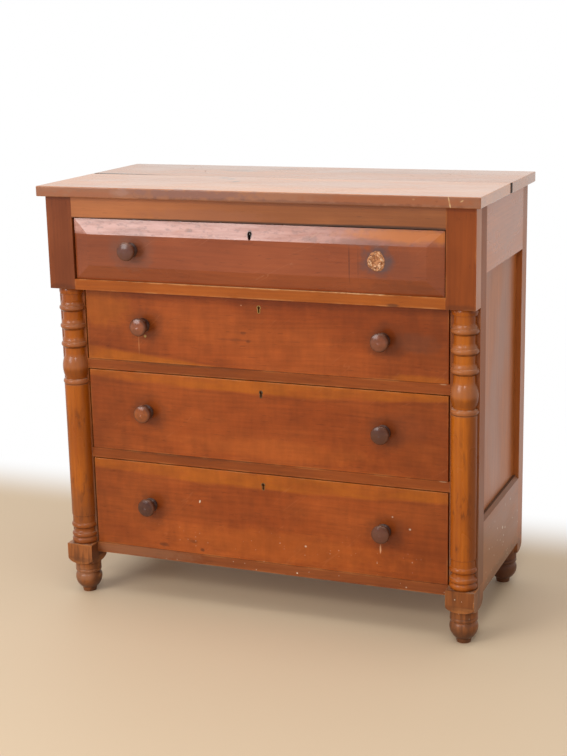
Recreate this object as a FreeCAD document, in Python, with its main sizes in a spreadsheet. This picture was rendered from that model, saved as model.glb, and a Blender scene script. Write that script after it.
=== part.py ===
import FreeCAD, Part
import os
import re

import Sketcher

# A cherry chest of four drawers, in millimetres. It stands on the floor at z = 0 and faces -Y.
# A deep top drawer hangs out over three flush drawers, and turned half columns carry the overhang.
# The origin is on the floor, in the middle of the width, and half way between the tips of the
# upper knobs and the back edge of the top.

SIZES = {
    # The top: two boards whose joint has opened as they dried.
    "top_thickness": 26,
    "top_side_overhang": 14.5,
    "top_front_overhang": 21,
    "top_back_overhang": 23,
    "top_front_board": 292,
    "top_joint_gap": 1,
    "crack_width": 9,
    "crack_length": 270,
    "top_edge_ease": 2.5,
    # The case as a whole. The lower front stands back behind the upper one.
    "case_width": 1116,
    "case_depth": 509,
    "lower_setback": 44,
    "post_width": 72,
    "front_post_depth": 50,
    "rear_post_depth": 48,
    # Heights, from the floor up.
    "floor_clearance": 116,
    "bottom_rail_height": 27,
    "bottom_opening": 238,
    "third_opening": 215,
    "second_opening": 189,
    "top_opening": 157,
    "blade_thickness": 26,
    "soffit_rail_height": 27,
    "frieze_rail_height": 53,
    # Rails across the front, and the tenons that join all rails to the posts.
    "frieze_rail_thickness": 32,
    "blade_depth": 50,
    "tenon_length": 30,
    "tenon_shoulder": 6,
    # Framed and panelled sides.
    "side_rail_thickness": 34,
    "side_top_rail_height": 164,
    "side_bottom_rail_height": 189,
    "side_rail_bevel": 8,
    "panel_thickness": 10,
    "panel_recess": 15,
    "panel_groove": 8,
    # The back.
    "back_board_thickness": 10,
    "back_board_gap": 1,
    "back_rebate": 20,
    "back_rail_thickness": 22,
    "back_top_rail_height": 50,
    # Strips inside the case that carry, guide and stop the drawers.
    "runner_width": 30,
    "runner_height": 24,
    "runner_tenon_length": 10,
    "runner_tenon_thickness": 8,
    "guide_height": 22,
    "kicker_height": 24,
    "stop_width": 40,
    "stop_depth": 20,
    "stop_height": 6,
    "stop_inset": 150,
    # Turned half columns, listed from the base up.
    "column_base_radius": 35,
    "column_fillet_radius": 31,
    "column_cove_radius": 28,
    "column_shaft_radius": 32.5,
    "column_vase_radius": 34.5,
    "column_ring_radius": 34.5,
    "column_neck_radius": 27,
    "base_torus_height": 17,
    "base_upper_torus_height": 13,
    "base_cove_height": 13,
    "base_bead_height": 14,
    "base_drum_height": 18,
    "base_step_height": 3,
    "collar_height": 15,
    "vase_lower_height": 31,
    "vase_upper_height": 29,
    "vase_neck_height": 21,
    "bell_undercut_height": 4,
    "bell_ring_height": 13,
    "bell_shoulder_height": 12,
    "bell_neck_height": 19,
    "cap_bead_height": 15,
    "cap_fillet_height": 2,
    # Turned feet, listed from the floor up.
    "foot_block_setback": 8,
    "foot_pad_radius": 17.5,
    "foot_pad_top_radius": 19.5,
    "foot_pad_height": 11,
    "front_ball_radius": 35.5,
    "rear_ball_radius": 36.5,
    "rear_foot_inset": 41,
    "rear_foot_setback": 37,
    "ball_lower_height": 31,
    "ball_upper_height": 13,
    "foot_groove_depth": 4.5,
    "foot_groove_height": 2,
    "foot_ring_height": 11,
    "foot_ring_inset": 0.8,
    "foot_neck_inset": 1.2,
    "foot_neck_height": 17.5,
    "pommel_height": 24,
    "pommel_margin": 1,
    "foot_tenon_width": 30,
    "foot_tenon_depth": 26,
    "foot_tenon_height": 40,
    # Drawers: fits first, then boards, then joints.
    "drawer_side_gap": 3.5,
    "drawer_top_gap": 2.5,
    "running_gap": 0.3,
    "drawer_back_clearance": 15,
    "lower_front_thickness": 22,
    "front_edge_ease": 1.2,
    "top_front_thickness": 18,
    "field_recess": 6,
    "field_proud": 4,
    "field_side_border": 41,
    "field_top_border": 38,
    "field_bottom_border": 37,
    "drawer_side_thickness": 12,
    "drawer_side_drop": 3,
    "drawer_back_thickness": 12,
    "drawer_bottom_thickness": 7,
    "drawer_bottom_rise": 10,
    "drawer_groove": 6,
    "dovetail_lap": 13,
    "dovetail_flare": 2.2,
    "dovetail_pin": 6,
    # Turned knobs.
    "knob_inset": 162.5,
    "knob_rise": 2.5,
    "knob_length": 38,
    "knob_radius": 23.5,
    "knob_rim_height": 10,
    "knob_rim_depth": 2.5,
    "knob_base_radius": 19,
    "knob_base_height": 5,
    "knob_neck_radius": 14,
    "knob_neck_height": 8,
    "knob_cup_height": 11,
    "knob_tenon_radius": 9,
    "knob_fit": 0.3,
    "stub_sink": 0.6,
    # Locks and keyholes.
    "top_keyhole_drop": 26,
    "lower_keyhole_drop": 30,
    "keyhole_head_radius": 3.6,
    "keyhole_slot_width": 3.8,
    "keyhole_slot_drop": 11,
    "escutcheon_wall": 1.8,
    "escutcheon_depth": 3,
    "liner_fit": 0.2,
    "lock_width": 60,
    "lock_height": 46,
    "lock_thickness": 12,
    "key_depth": 5,
    "selvedge_width": 76,
    "selvedge_thickness": 2,
    "bolt_width": 22,
    "bolt_thickness": 5,
    "bolt_inset": 3,
    "bolt_height": 18,
    "bolt_clearance": 0.3,
    "bolt_travel": 9,
    "strike_spare": 1,
}

# Limits across the width, as distances from the middle.
HALF_CASE = "(case_width / 2)"
HALF_OPENING = "(case_width / 2 - post_width)"
POST_MIDDLE = "(case_width / 2 - post_width / 2)"
HALF_DRAWER = f"({HALF_OPENING} - drawer_side_gap)"
SIDE_INSIDE = f"({HALF_CASE} - side_rail_thickness)"

# Limits from front to back.
FRONT = "((field_proud + knob_length - case_depth - top_back_overhang) / 2)"
LOWER_FRONT = f"({FRONT} + lower_setback)"
RAIL_BACK = f"({LOWER_FRONT} + blade_depth)"
POST_BACK = f"({LOWER_FRONT} + front_post_depth)"
BACK = f"({FRONT} + case_depth)"
REAR_POST_FRONT = f"({BACK} - rear_post_depth)"
BACK_BOARD_FRONT = f"({BACK} - back_board_thickness)"
BACK_RAIL_FRONT = f"({BACK_BOARD_FRONT} - back_rail_thickness)"
DRAWER_END = f"({BACK_BOARD_FRONT} - drawer_back_clearance)"

# Heights of the floors and ceilings of the drawer openings.
BOTTOM_FLOOR = "(floor_clearance + bottom_rail_height)"
BOTTOM_CEILING = f"({BOTTOM_FLOOR} + bottom_opening)"
THIRD_FLOOR = f"({BOTTOM_CEILING} + blade_thickness)"
THIRD_CEILING = f"({THIRD_FLOOR} + third_opening)"
SECOND_FLOOR = f"({THIRD_CEILING} + blade_thickness)"
SOFFIT = f"({SECOND_FLOOR} + second_opening)"
TOP_FLOOR = f"({SOFFIT} + soffit_rail_height)"
TOP_CEILING = f"({TOP_FLOOR} + top_opening)"
CASE_TOP = f"({TOP_CEILING} + frieze_rail_height)"
PANEL_BOTTOM = "(floor_clearance + side_bottom_rail_height)"
PANEL_TOP = f"({CASE_TOP} - side_top_rail_height)"

SIDES = ((-1, "left"), (1, "right"))

doc = FreeCAD.newDocument("chest")
sheet = doc.addObject("Spreadsheet::Sheet", "Sizes")
for row, (alias, number) in enumerate(SIZES.items(), start=1):
    sheet.set(f"A{row}", alias.replace("_", " "))
    sheet.set(f"B{row}", str(number))
    sheet.setAlias(f"B{row}", alias)
doc.recompute()

pieces = []


def written_out(formula):
    """The formula with each size named as a cell of the sheet."""
    return re.sub(r"\b[a-z]\w*\b(?!\()", r"Sizes.\g<0>", formula)


def worth(formula):
    """The number that a formula comes to."""
    return float(sheet.evalExpression(written_out(formula)))


def bind(thing, formulas):
    """Ties properties of a document object to formulas."""
    for name, formula in formulas.items():
        thing.setExpression(name, written_out(formula))


def keep(piece):
    """Marks a document object as a finished piece of the chest."""
    pieces.append(piece)
    return piece


def span(side, near, far):
    """Limits across the width of something on one side, between two distances from the middle."""
    if side > 0:
        return near, far
    return f"-({far})", f"-({near})"


def board(name, x, y, z):
    """A squared board between a low and a high limit on each axis."""
    piece = doc.addObject("Part::Box", name)
    for length, place, (low, high) in (("Length", "x", x), ("Width", "y", y), ("Height", "z", z)):
        bind(piece, {length: f"({high}) - ({low})", f"Placement.Base.{place}": low})
    return piece


def eased_board(name, x, y, z, ease, is_eased):
    """A board with some of its edges rounded over. Each edge is tried by its two end points."""
    body = doc.addObject("PartDesign::Body", name)
    stock = doc.addObject("PartDesign::AdditiveBox", name + "_stock")
    body.addObject(stock)
    for length, place, (low, high) in (("Length", "x", x), ("Width", "y", y), ("Height", "z", z)):
        bind(stock, {length: f"({high}) - ({low})"})
        bind(body, {f"Placement.Base.{place}": low})
    doc.recompute()
    chosen = [f"Edge{number}" for number, edge in enumerate(stock.Shape.Edges, start=1)
              if is_eased(*(corner.Point for corner in edge.Vertexes))]
    rounding = body.newObject("PartDesign::Fillet", name + "_rounding")
    rounding.Base = (stock, chosen)
    bind(rounding, {"Radius": ease})
    return body


def tapered(name, y, front_x, front_z, rear_x, rear_z):
    """A block whose front and rear faces are rectangles of different sizes."""
    piece = doc.addObject("Part::Wedge", name)
    bind(piece, {
        "Ymin": y[0], "Xmin": front_x[0], "Xmax": front_x[1], "Zmin": front_z[0], "Zmax": front_z[1],
        "Ymax": y[1], "X2min": rear_x[0], "X2max": rear_x[1], "Z2min": rear_z[0], "Z2max": rear_z[1],
    })
    return piece


def dowel(name, radius, x, y, z):
    """A round bar lying from front to back, on the line through x and z."""
    piece = doc.addObject("Part::Cylinder", name)
    piece.Placement.Rotation = FreeCAD.Rotation(FreeCAD.Vector(1, 0, 0), -90)
    bind(piece, {
        "Radius": radius, "Height": f"({y[1]}) - ({y[0]})",
        "Placement.Base.x": x, "Placement.Base.y": y[0], "Placement.Base.z": z,
    })
    return piece


def fused(name, parts):
    """One solid glued up from several."""
    piece = doc.addObject("Part::MultiFuse", name)
    piece.Shapes = parts
    piece.Refine = True
    return piece


def cut(name, base, tools):
    """A solid with others cut out of it."""
    piece = doc.addObject("Part::Cut", name)
    piece.Base = base
    piece.Tool = tools[0] if len(tools) == 1 else fused(name + "_cuts", tools)
    piece.Refine = True
    return piece


def shared(name, base, envelope):
    """What two solids have in common."""
    piece = doc.addObject("Part::Common", name)
    piece.Base = base
    piece.Tool = envelope
    piece.Refine = True
    return piece


def group(name, solids):
    """Like pieces kept together under one name."""
    piece = doc.addObject("Part::Compound", name)
    piece.Links = solids
    return piece


def arc_centre(kind, start, end, radius):
    """Centre of a turned curve, in radius and height.

    A round swells outwards and is upright where it is widest, a hollow is upright where it is
    narrowest, and a dome is level where it meets the axis.
    """
    wide, narrow = (start, end) if start.x > end.x else (end, start)
    if kind == "round":
        return FreeCAD.Vector(wide.x - radius, wide.y, 0)
    if kind == "hollow":
        return FreeCAD.Vector(narrow.x + radius, narrow.y, 0)
    return FreeCAD.Vector(end.x, end.y - radius, 0)


def turned(name, first_radius, stretches, sweep=360):
    """A turned piece that stands on z = 0, with its axis along z.

    Each stretch of the outline is a kind, a rise and the radius that it ends at. A rise of None
    is a level step.
    """
    body = doc.addObject("PartDesign::Body", name)
    sketch = body.newObject("Sketcher::SketchObject", name + "_outline")
    upright = next(plane for plane in body.Origin.OriginFeatures if plane.Role == "XZ_Plane")
    sketch.AttachmentSupport = (upright, [""])
    sketch.MapMode = "FlatFace"
    origin, start_of, end_of, level_axis, turning_axis = -1, 1, 2, -1, -2

    def tie(kind, *where, formula):
        place = sketch.addConstraint(Sketcher.Constraint(kind, *where, worth(formula)))
        sketch.setExpression(f"Constraints[{place}]", written_out(formula))

    def join(kind, *where):
        sketch.addConstraint(Sketcher.Constraint(kind, *where))

    base = FreeCAD.Vector(0, 0, 0)
    here = FreeCAD.Vector(worth(first_radius), 0, 0)
    line = sketch.addGeometry(Part.LineSegment(base, here))
    join("Coincident", line, start_of, origin, start_of)
    join("PointOnObject", line, end_of, level_axis)
    tie("DistanceX", line, start_of, line, end_of, formula=first_radius)
    last, last_end, radius_here = line, end_of, first_radius
    for kind, rise, radius in stretches:
        there = FreeCAD.Vector(worth(radius), here.y + (worth(rise) if rise else 0), 0)
        first, second = start_of, end_of
        if kind == "straight":
            edge = sketch.addGeometry(Part.LineSegment(here, there))
        else:
            step = f"({radius}) - ({radius_here})"
            if there.x < here.x:
                step = f"({radius_here}) - ({radius})"
            shorter = f"({rise})" if kind == "dome" else f"({step})"
            bend = f"(({step})^2 + ({rise})^2) / (2 * {shorter})"
            centre = arc_centre(kind, here, there, worth(bend))
            middle = (here - centre) + (there - centre)
            middle = centre + middle.normalize() * worth(bend)
            edge = sketch.addGeometry(Part.Arc(here, middle, there))
            if sketch.getPoint(edge, start_of).distanceToPoint(here) > 1e-6:
                first, second = end_of, start_of
            tie("Radius", edge, formula=bend)
        join("Coincident", last, last_end, edge, first)
        if rise:
            tie("DistanceY", edge, first, edge, second, formula=rise)
        else:
            join("Horizontal", edge)
        if worth(radius) > 0:
            tie("DistanceX", origin, start_of, edge, second, formula=radius)
        else:
            join("PointOnObject", edge, second, turning_axis)
        last, last_end, radius_here, here = edge, second, radius, there
    axis = sketch.addGeometry(Part.LineSegment(here, base))
    join("Coincident", last, last_end, axis, start_of)
    join("Coincident", axis, end_of, line, start_of)
    doc.recompute()
    turning = body.newObject("PartDesign::Revolution", name + "_turning")
    turning.Profile = (sketch, [""])
    turning.ReferenceAxis = (sketch, ["V_Axis"])
    turning.Angle = sweep
    return body


def stand(body, x, y, z):
    """Puts a turned piece at its place."""
    bind(body, {"Placement.Base.x": x, "Placement.Base.y": y, "Placement.Base.z": z})
    return body


def rail_tenons(name, y, z):
    """The pair of tenons on a rail that runs from post to post."""
    far = f"{HALF_OPENING} + tenon_length"
    inner_y = (f"{y[0]} + tenon_shoulder", f"{y[1]} - tenon_shoulder")
    inner_z = (f"{z[0]} + tenon_shoulder", f"{z[1]} - tenon_shoulder")
    return [board(f"{name}_tenon_{word}", span(side, HALF_OPENING, far), inner_y, inner_z)
            for side, word in SIDES]


def strike(name, back_of_front, ceiling):
    """The mortise above a drawer that its lock bolt rises into."""
    half = "bolt_width / 2 + bolt_clearance"
    bolt_front = f"{back_of_front} - bolt_inset - bolt_thickness - bolt_clearance"
    bolt_back = f"{back_of_front} - bolt_inset + bolt_clearance"
    depth = "bolt_travel - drawer_top_gap + strike_spare"
    return board(f"{name}_strike", (f"-({half})", half), (bolt_front, bolt_back),
                 (ceiling, f"{ceiling} + {depth}"))


# The fronts of the four drawers: the plane of each face, its back, and the seat of its knobs.
TOP_EDGE = f"({FRONT} + field_recess)"
TOP_BACK = f"({TOP_EDGE} + top_front_thickness)"
FIELD = f"({FRONT} - field_proud)"
LOWER_BACK = f"({LOWER_FRONT} + lower_front_thickness)"
OPENINGS = (
    ("top", TOP_FLOOR, TOP_CEILING, TOP_BACK),
    ("second", SECOND_FLOOR, SOFFIT, LOWER_BACK),
    ("third", THIRD_FLOOR, THIRD_CEILING, LOWER_BACK),
    ("bottom", BOTTOM_FLOOR, BOTTOM_CEILING, LOWER_BACK),
)

# The top: a front and a rear board laid on the case. Their joint has opened, and a wedge of the
# rear board has broken away along it at the left end.
TOP_LEVELS = (CASE_TOP, f"{CASE_TOP} + top_thickness")
TOP_END = f"({HALF_CASE} + top_side_overhang)"
TOP_ACROSS = (f"-{TOP_END}", TOP_END)
TOP_NOSE = f"({FRONT} - top_front_overhang)"
TOP_JOINT = f"({TOP_NOSE} + top_front_board)"
TOP_TAIL = f"({BACK} + top_back_overhang)"
rear_board_y = (f"({TOP_JOINT} + top_joint_gap)", TOP_TAIL)
front_board_depth = worth("top_front_board")
keep(eased_board("top_front_board", TOP_ACROSS, (TOP_NOSE, TOP_JOINT), TOP_LEVELS, "top_edge_ease",
                 lambda start, end: min(start.y, end.y) < front_board_depth / 2))
rear_board = eased_board("rear_board_stock", TOP_ACROSS, rear_board_y, TOP_LEVELS, "top_edge_ease",
                         lambda start, end: max(start.y, end.y) > 0)
crack_start = f"({TOP_ACROSS[0]} - crack_width)"
crack = tapered("top_crack", (rear_board_y[0], f"{rear_board_y[0]} + crack_width"),
                (crack_start, f"{TOP_ACROSS[0]} + crack_length"), TOP_LEVELS,
                (crack_start, TOP_ACROSS[0]), TOP_LEVELS)
keep(cut("top_rear_board", rear_board, [crack]))

# Runners under the drawer sides, stub-tenoned into the rails in front of them.
runners = []
runner_tenons = {}
for name, floor, ceiling, back_of_front in OPENINGS:
    runner_tenons[name] = []
    middle = f"{floor} - runner_height / 2"
    tenon_z = (f"{middle} - runner_tenon_thickness / 2", f"{middle} + runner_tenon_thickness / 2")
    for side, word in SIDES:
        across = span(side, f"{HALF_OPENING} - runner_width", HALF_OPENING)
        bar = board(f"{name}_runner_bar_{word}", across, (RAIL_BACK, BACK_RAIL_FRONT),
                    (f"{floor} - runner_height", floor))
        tenon = board(f"{name}_runner_tenon_{word}", across,
                      (f"{RAIL_BACK} - runner_tenon_length", RAIL_BACK), tenon_z)
        runner_tenons[name].append(tenon)
        runners.append(fused(f"{name}_runner_{word}", [bar, tenon]))
keep(group("drawer_runners", runners))

# Rails across the front, from the frieze down. Each has tenons, the strike of the lock below it
# and the mortises of the runners behind it.
frieze_y = (FRONT, f"{FRONT} + frieze_rail_thickness")
soffit_y = (FRONT, RAIL_BACK)
blade_y = (LOWER_FRONT, RAIL_BACK)
frieze_z = (TOP_CEILING, CASE_TOP)
soffit_z = (SOFFIT, TOP_FLOOR)
upper_blade_z = (THIRD_CEILING, SECOND_FLOOR)
lower_blade_z = (BOTTOM_CEILING, THIRD_FLOOR)
bottom_rail_z = ("floor_clearance", BOTTOM_FLOOR)
post_y = (LOWER_FRONT, POST_BACK)
tenons = {
    "frieze_rail": rail_tenons("frieze_rail", frieze_y, frieze_z),
    "soffit_rail": rail_tenons("soffit_rail", (FRONT, LOWER_FRONT), soffit_z),
    "upper_drawer_blade": rail_tenons("upper_drawer_blade", post_y, upper_blade_z),
    "lower_drawer_blade": rail_tenons("lower_drawer_blade", post_y, lower_blade_z),
    "bottom_front_rail": rail_tenons("bottom_front_rail", post_y, bottom_rail_z),
}
for name, y, z, below, above in (
    ("frieze_rail", frieze_y, frieze_z, "top", None),
    ("soffit_rail", soffit_y, soffit_z, "second", "top"),
    ("upper_drawer_blade", blade_y, upper_blade_z, "third", "second"),
    ("lower_drawer_blade", blade_y, lower_blade_z, "bottom", "third"),
    ("bottom_front_rail", blade_y, bottom_rail_z, None, "bottom"),
):
    bar = board(name + "_bar", (f"-{HALF_OPENING}", HALF_OPENING), y, z)
    cuts = []
    for opening, floor, ceiling, back_of_front in OPENINGS:
        if opening == below:
            cuts.append(strike(name, back_of_front, ceiling))
        if opening == above:
            cuts += runner_tenons[opening]
    keep(cut(name, fused(name + "_tenoned", [bar] + tenons[name]), cuts))

# Rails across the back, tenoned into the rear posts.
back_rail_y = (BACK_RAIL_FRONT, BACK_BOARD_FRONT)
back_rail_levels = {
    "back_top_rail": (f"({CASE_TOP} - back_top_rail_height)", CASE_TOP),
    "back_bottom_rail": ("floor_clearance", BOTTOM_FLOOR),
}
back_tenons = []
back_rails = []
for name, z in back_rail_levels.items():
    ends = rail_tenons(name, back_rail_y, z)
    back_tenons += ends
    bar = board(name + "_bar", (f"-{HALF_OPENING}", HALF_OPENING), back_rail_y, z)
    back_rails.append(fused(name, [bar] + ends))
keep(group("back_rails", back_rails))

# Back boards, laid level in the rebates of the rear posts.
BACK_BOARDS = 4
BACK_BOARD_HEIGHT = (f"(({CASE_TOP} - floor_clearance - {BACK_BOARDS - 1} * back_board_gap)"
                     f" / {BACK_BOARDS})")
REBATE_EDGE = f"({HALF_OPENING} + back_rebate)"
back_board_y = (BACK_BOARD_FRONT, BACK)
back_boards = []
for place in range(BACK_BOARDS):
    low = f"(floor_clearance + {place} * ({BACK_BOARD_HEIGHT} + back_board_gap))"
    back_boards.append(board(f"back_board_{place}", (f"-{REBATE_EDGE}", REBATE_EDGE), back_board_y,
                             (low, f"{low} + {BACK_BOARD_HEIGHT}")))
keep(group("back_boards", back_boards))


RING_TOP = ("(foot_pad_height + ball_lower_height + ball_upper_height + foot_groove_height"
            " + foot_ring_height)")


def foot_outline(ball, neck_height):
    """Outline of a turned foot: pad, ball, ring and plain neck."""
    groove = f"({ball} - foot_groove_depth)"
    neck = f"({ball} - foot_neck_inset)"
    return [
        ("straight", "foot_pad_height", "foot_pad_top_radius"),
        ("round", "ball_lower_height", ball),
        ("round", "ball_upper_height", groove),
        ("straight", "foot_groove_height", groove),
        ("round", "foot_ring_height / 2", f"({ball} - foot_ring_inset)"),
        ("round", "foot_ring_height / 2", groove),
        ("straight", None, neck),
        ("straight", neck_height, neck),
    ]


def square_above(stock_width, stock_depth, height):
    """Outline that leaves the stock above a foot square, with rounded shoulders at its lower end."""
    corner = f"(sqrt(({stock_width} / 2)^2 + ({stock_depth} / 2)^2) + pommel_margin)"
    turned_height = f"({RING_TOP} + foot_neck_height + pommel_height)"
    return [
        ("round", "pommel_height", corner),
        ("straight", f"{height} - {turned_height}", corner),
        ("straight", None, "0"),
    ]


# The turned outline of a half column, from the base up.
COLUMN_HEIGHT = f"({SOFFIT} - {BOTTOM_FLOOR})"
column_base = [
    ("round", "base_torus_height / 2", "column_base_radius"),
    ("round", "base_torus_height / 2", "column_fillet_radius"),
    ("round", "base_upper_torus_height / 2", "column_ring_radius"),
    ("round", "base_upper_torus_height / 2", "column_fillet_radius"),
    ("hollow", "base_cove_height / 2", "column_cove_radius"),
    ("hollow", "base_cove_height / 2", "column_fillet_radius"),
    ("round", "base_bead_height / 2", "column_ring_radius"),
    ("round", "base_bead_height / 2", "column_fillet_radius"),
    ("straight", "base_drum_height", "column_fillet_radius"),
    ("straight", "base_step_height", "column_shaft_radius"),
]
column_bell = [
    ("straight", "bell_undercut_height", "column_fillet_radius"),
    ("round", "bell_ring_height / 2", "column_ring_radius"),
    ("round", "bell_ring_height / 2", "column_fillet_radius"),
    ("round", "bell_shoulder_height", "column_neck_radius"),
    ("straight", "bell_neck_height", "column_neck_radius"),
]
column_head = [
    ("straight", None, "column_fillet_radius"),
    ("round", "collar_height / 2", "column_ring_radius"),
    ("round", "collar_height / 2", "column_cove_radius"),
    ("round", "vase_lower_height", "column_vase_radius"),
    ("round", "vase_upper_height", "column_cove_radius"),
    ("hollow", "vase_neck_height", "column_neck_radius"),
] + 3 * column_bell + [
    ("straight", None, "column_fillet_radius"),
    ("round", "cap_bead_height / 2", "column_shaft_radius"),
    ("round", "cap_bead_height / 2", "column_fillet_radius"),
    ("straight", "cap_fillet_height", "column_fillet_radius"),
    ("straight", None, "0"),
]
turnings = " + ".join(rise for kind, rise, radius in column_base + column_head if rise)
column_shaft = [("straight", f"{COLUMN_HEIGHT} - ({turnings})", "column_shaft_radius")]
column_outline = column_base + column_shaft + column_head


def bevelled_rail(name, side):
    """The bar of a lower side rail, with the outer top edge bevelled off."""
    body = doc.addObject("PartDesign::Body", name)
    section = body.newObject("Sketcher::SketchObject", name + "_section")
    upright = next(plane for plane in body.Origin.OriginFeatures if plane.Role == "XZ_Plane")
    section.AttachmentSupport = (upright, [""])
    section.MapMode = "FlatFace"
    width = "side_rail_thickness"
    height = "side_bottom_rail_height"
    corners = [("0", "0"), (width, "0"), (width, f"{height} - side_rail_bevel"),
               (f"{width} - side_rail_bevel", height), ("0", height)]
    spots = [FreeCAD.Vector(worth(across), worth(up), 0) for across, up in corners]
    for place, spot in enumerate(spots):
        section.addGeometry(Part.LineSegment(spot, spots[(place + 1) % len(spots)]))
    for place, (across, up) in enumerate(corners):
        before = (place - 1) % len(corners)
        section.addConstraint(Sketcher.Constraint("Coincident", before, 2, place, 1))
        for kind, formula, axis in (("DistanceX", across, -2), ("DistanceY", up, -1)):
            if worth(formula) == 0:
                section.addConstraint(Sketcher.Constraint("PointOnObject", place, 1, axis))
                continue
            spot = section.addConstraint(Sketcher.Constraint(kind, -1, 1, place, 1, worth(formula)))
            section.setExpression(f"Constraints[{spot}]", written_out(formula))
    doc.recompute()
    pad = body.newObject("PartDesign::Pad", name + "_length")
    pad.Profile = (section, [""])
    pad.Reversed = True
    bind(pad, {"Length": f"{REAR_POST_FRONT} - {POST_BACK}"})
    if side > 0:
        return stand(body, SIDE_INSIDE, POST_BACK, "floor_clearance")
    body.Placement.Rotation = FreeCAD.Rotation(FreeCAD.Vector(0, 0, 1), 180)
    return stand(body, f"-{SIDE_INSIDE}", REAR_POST_FRONT, "floor_clearance")


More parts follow.
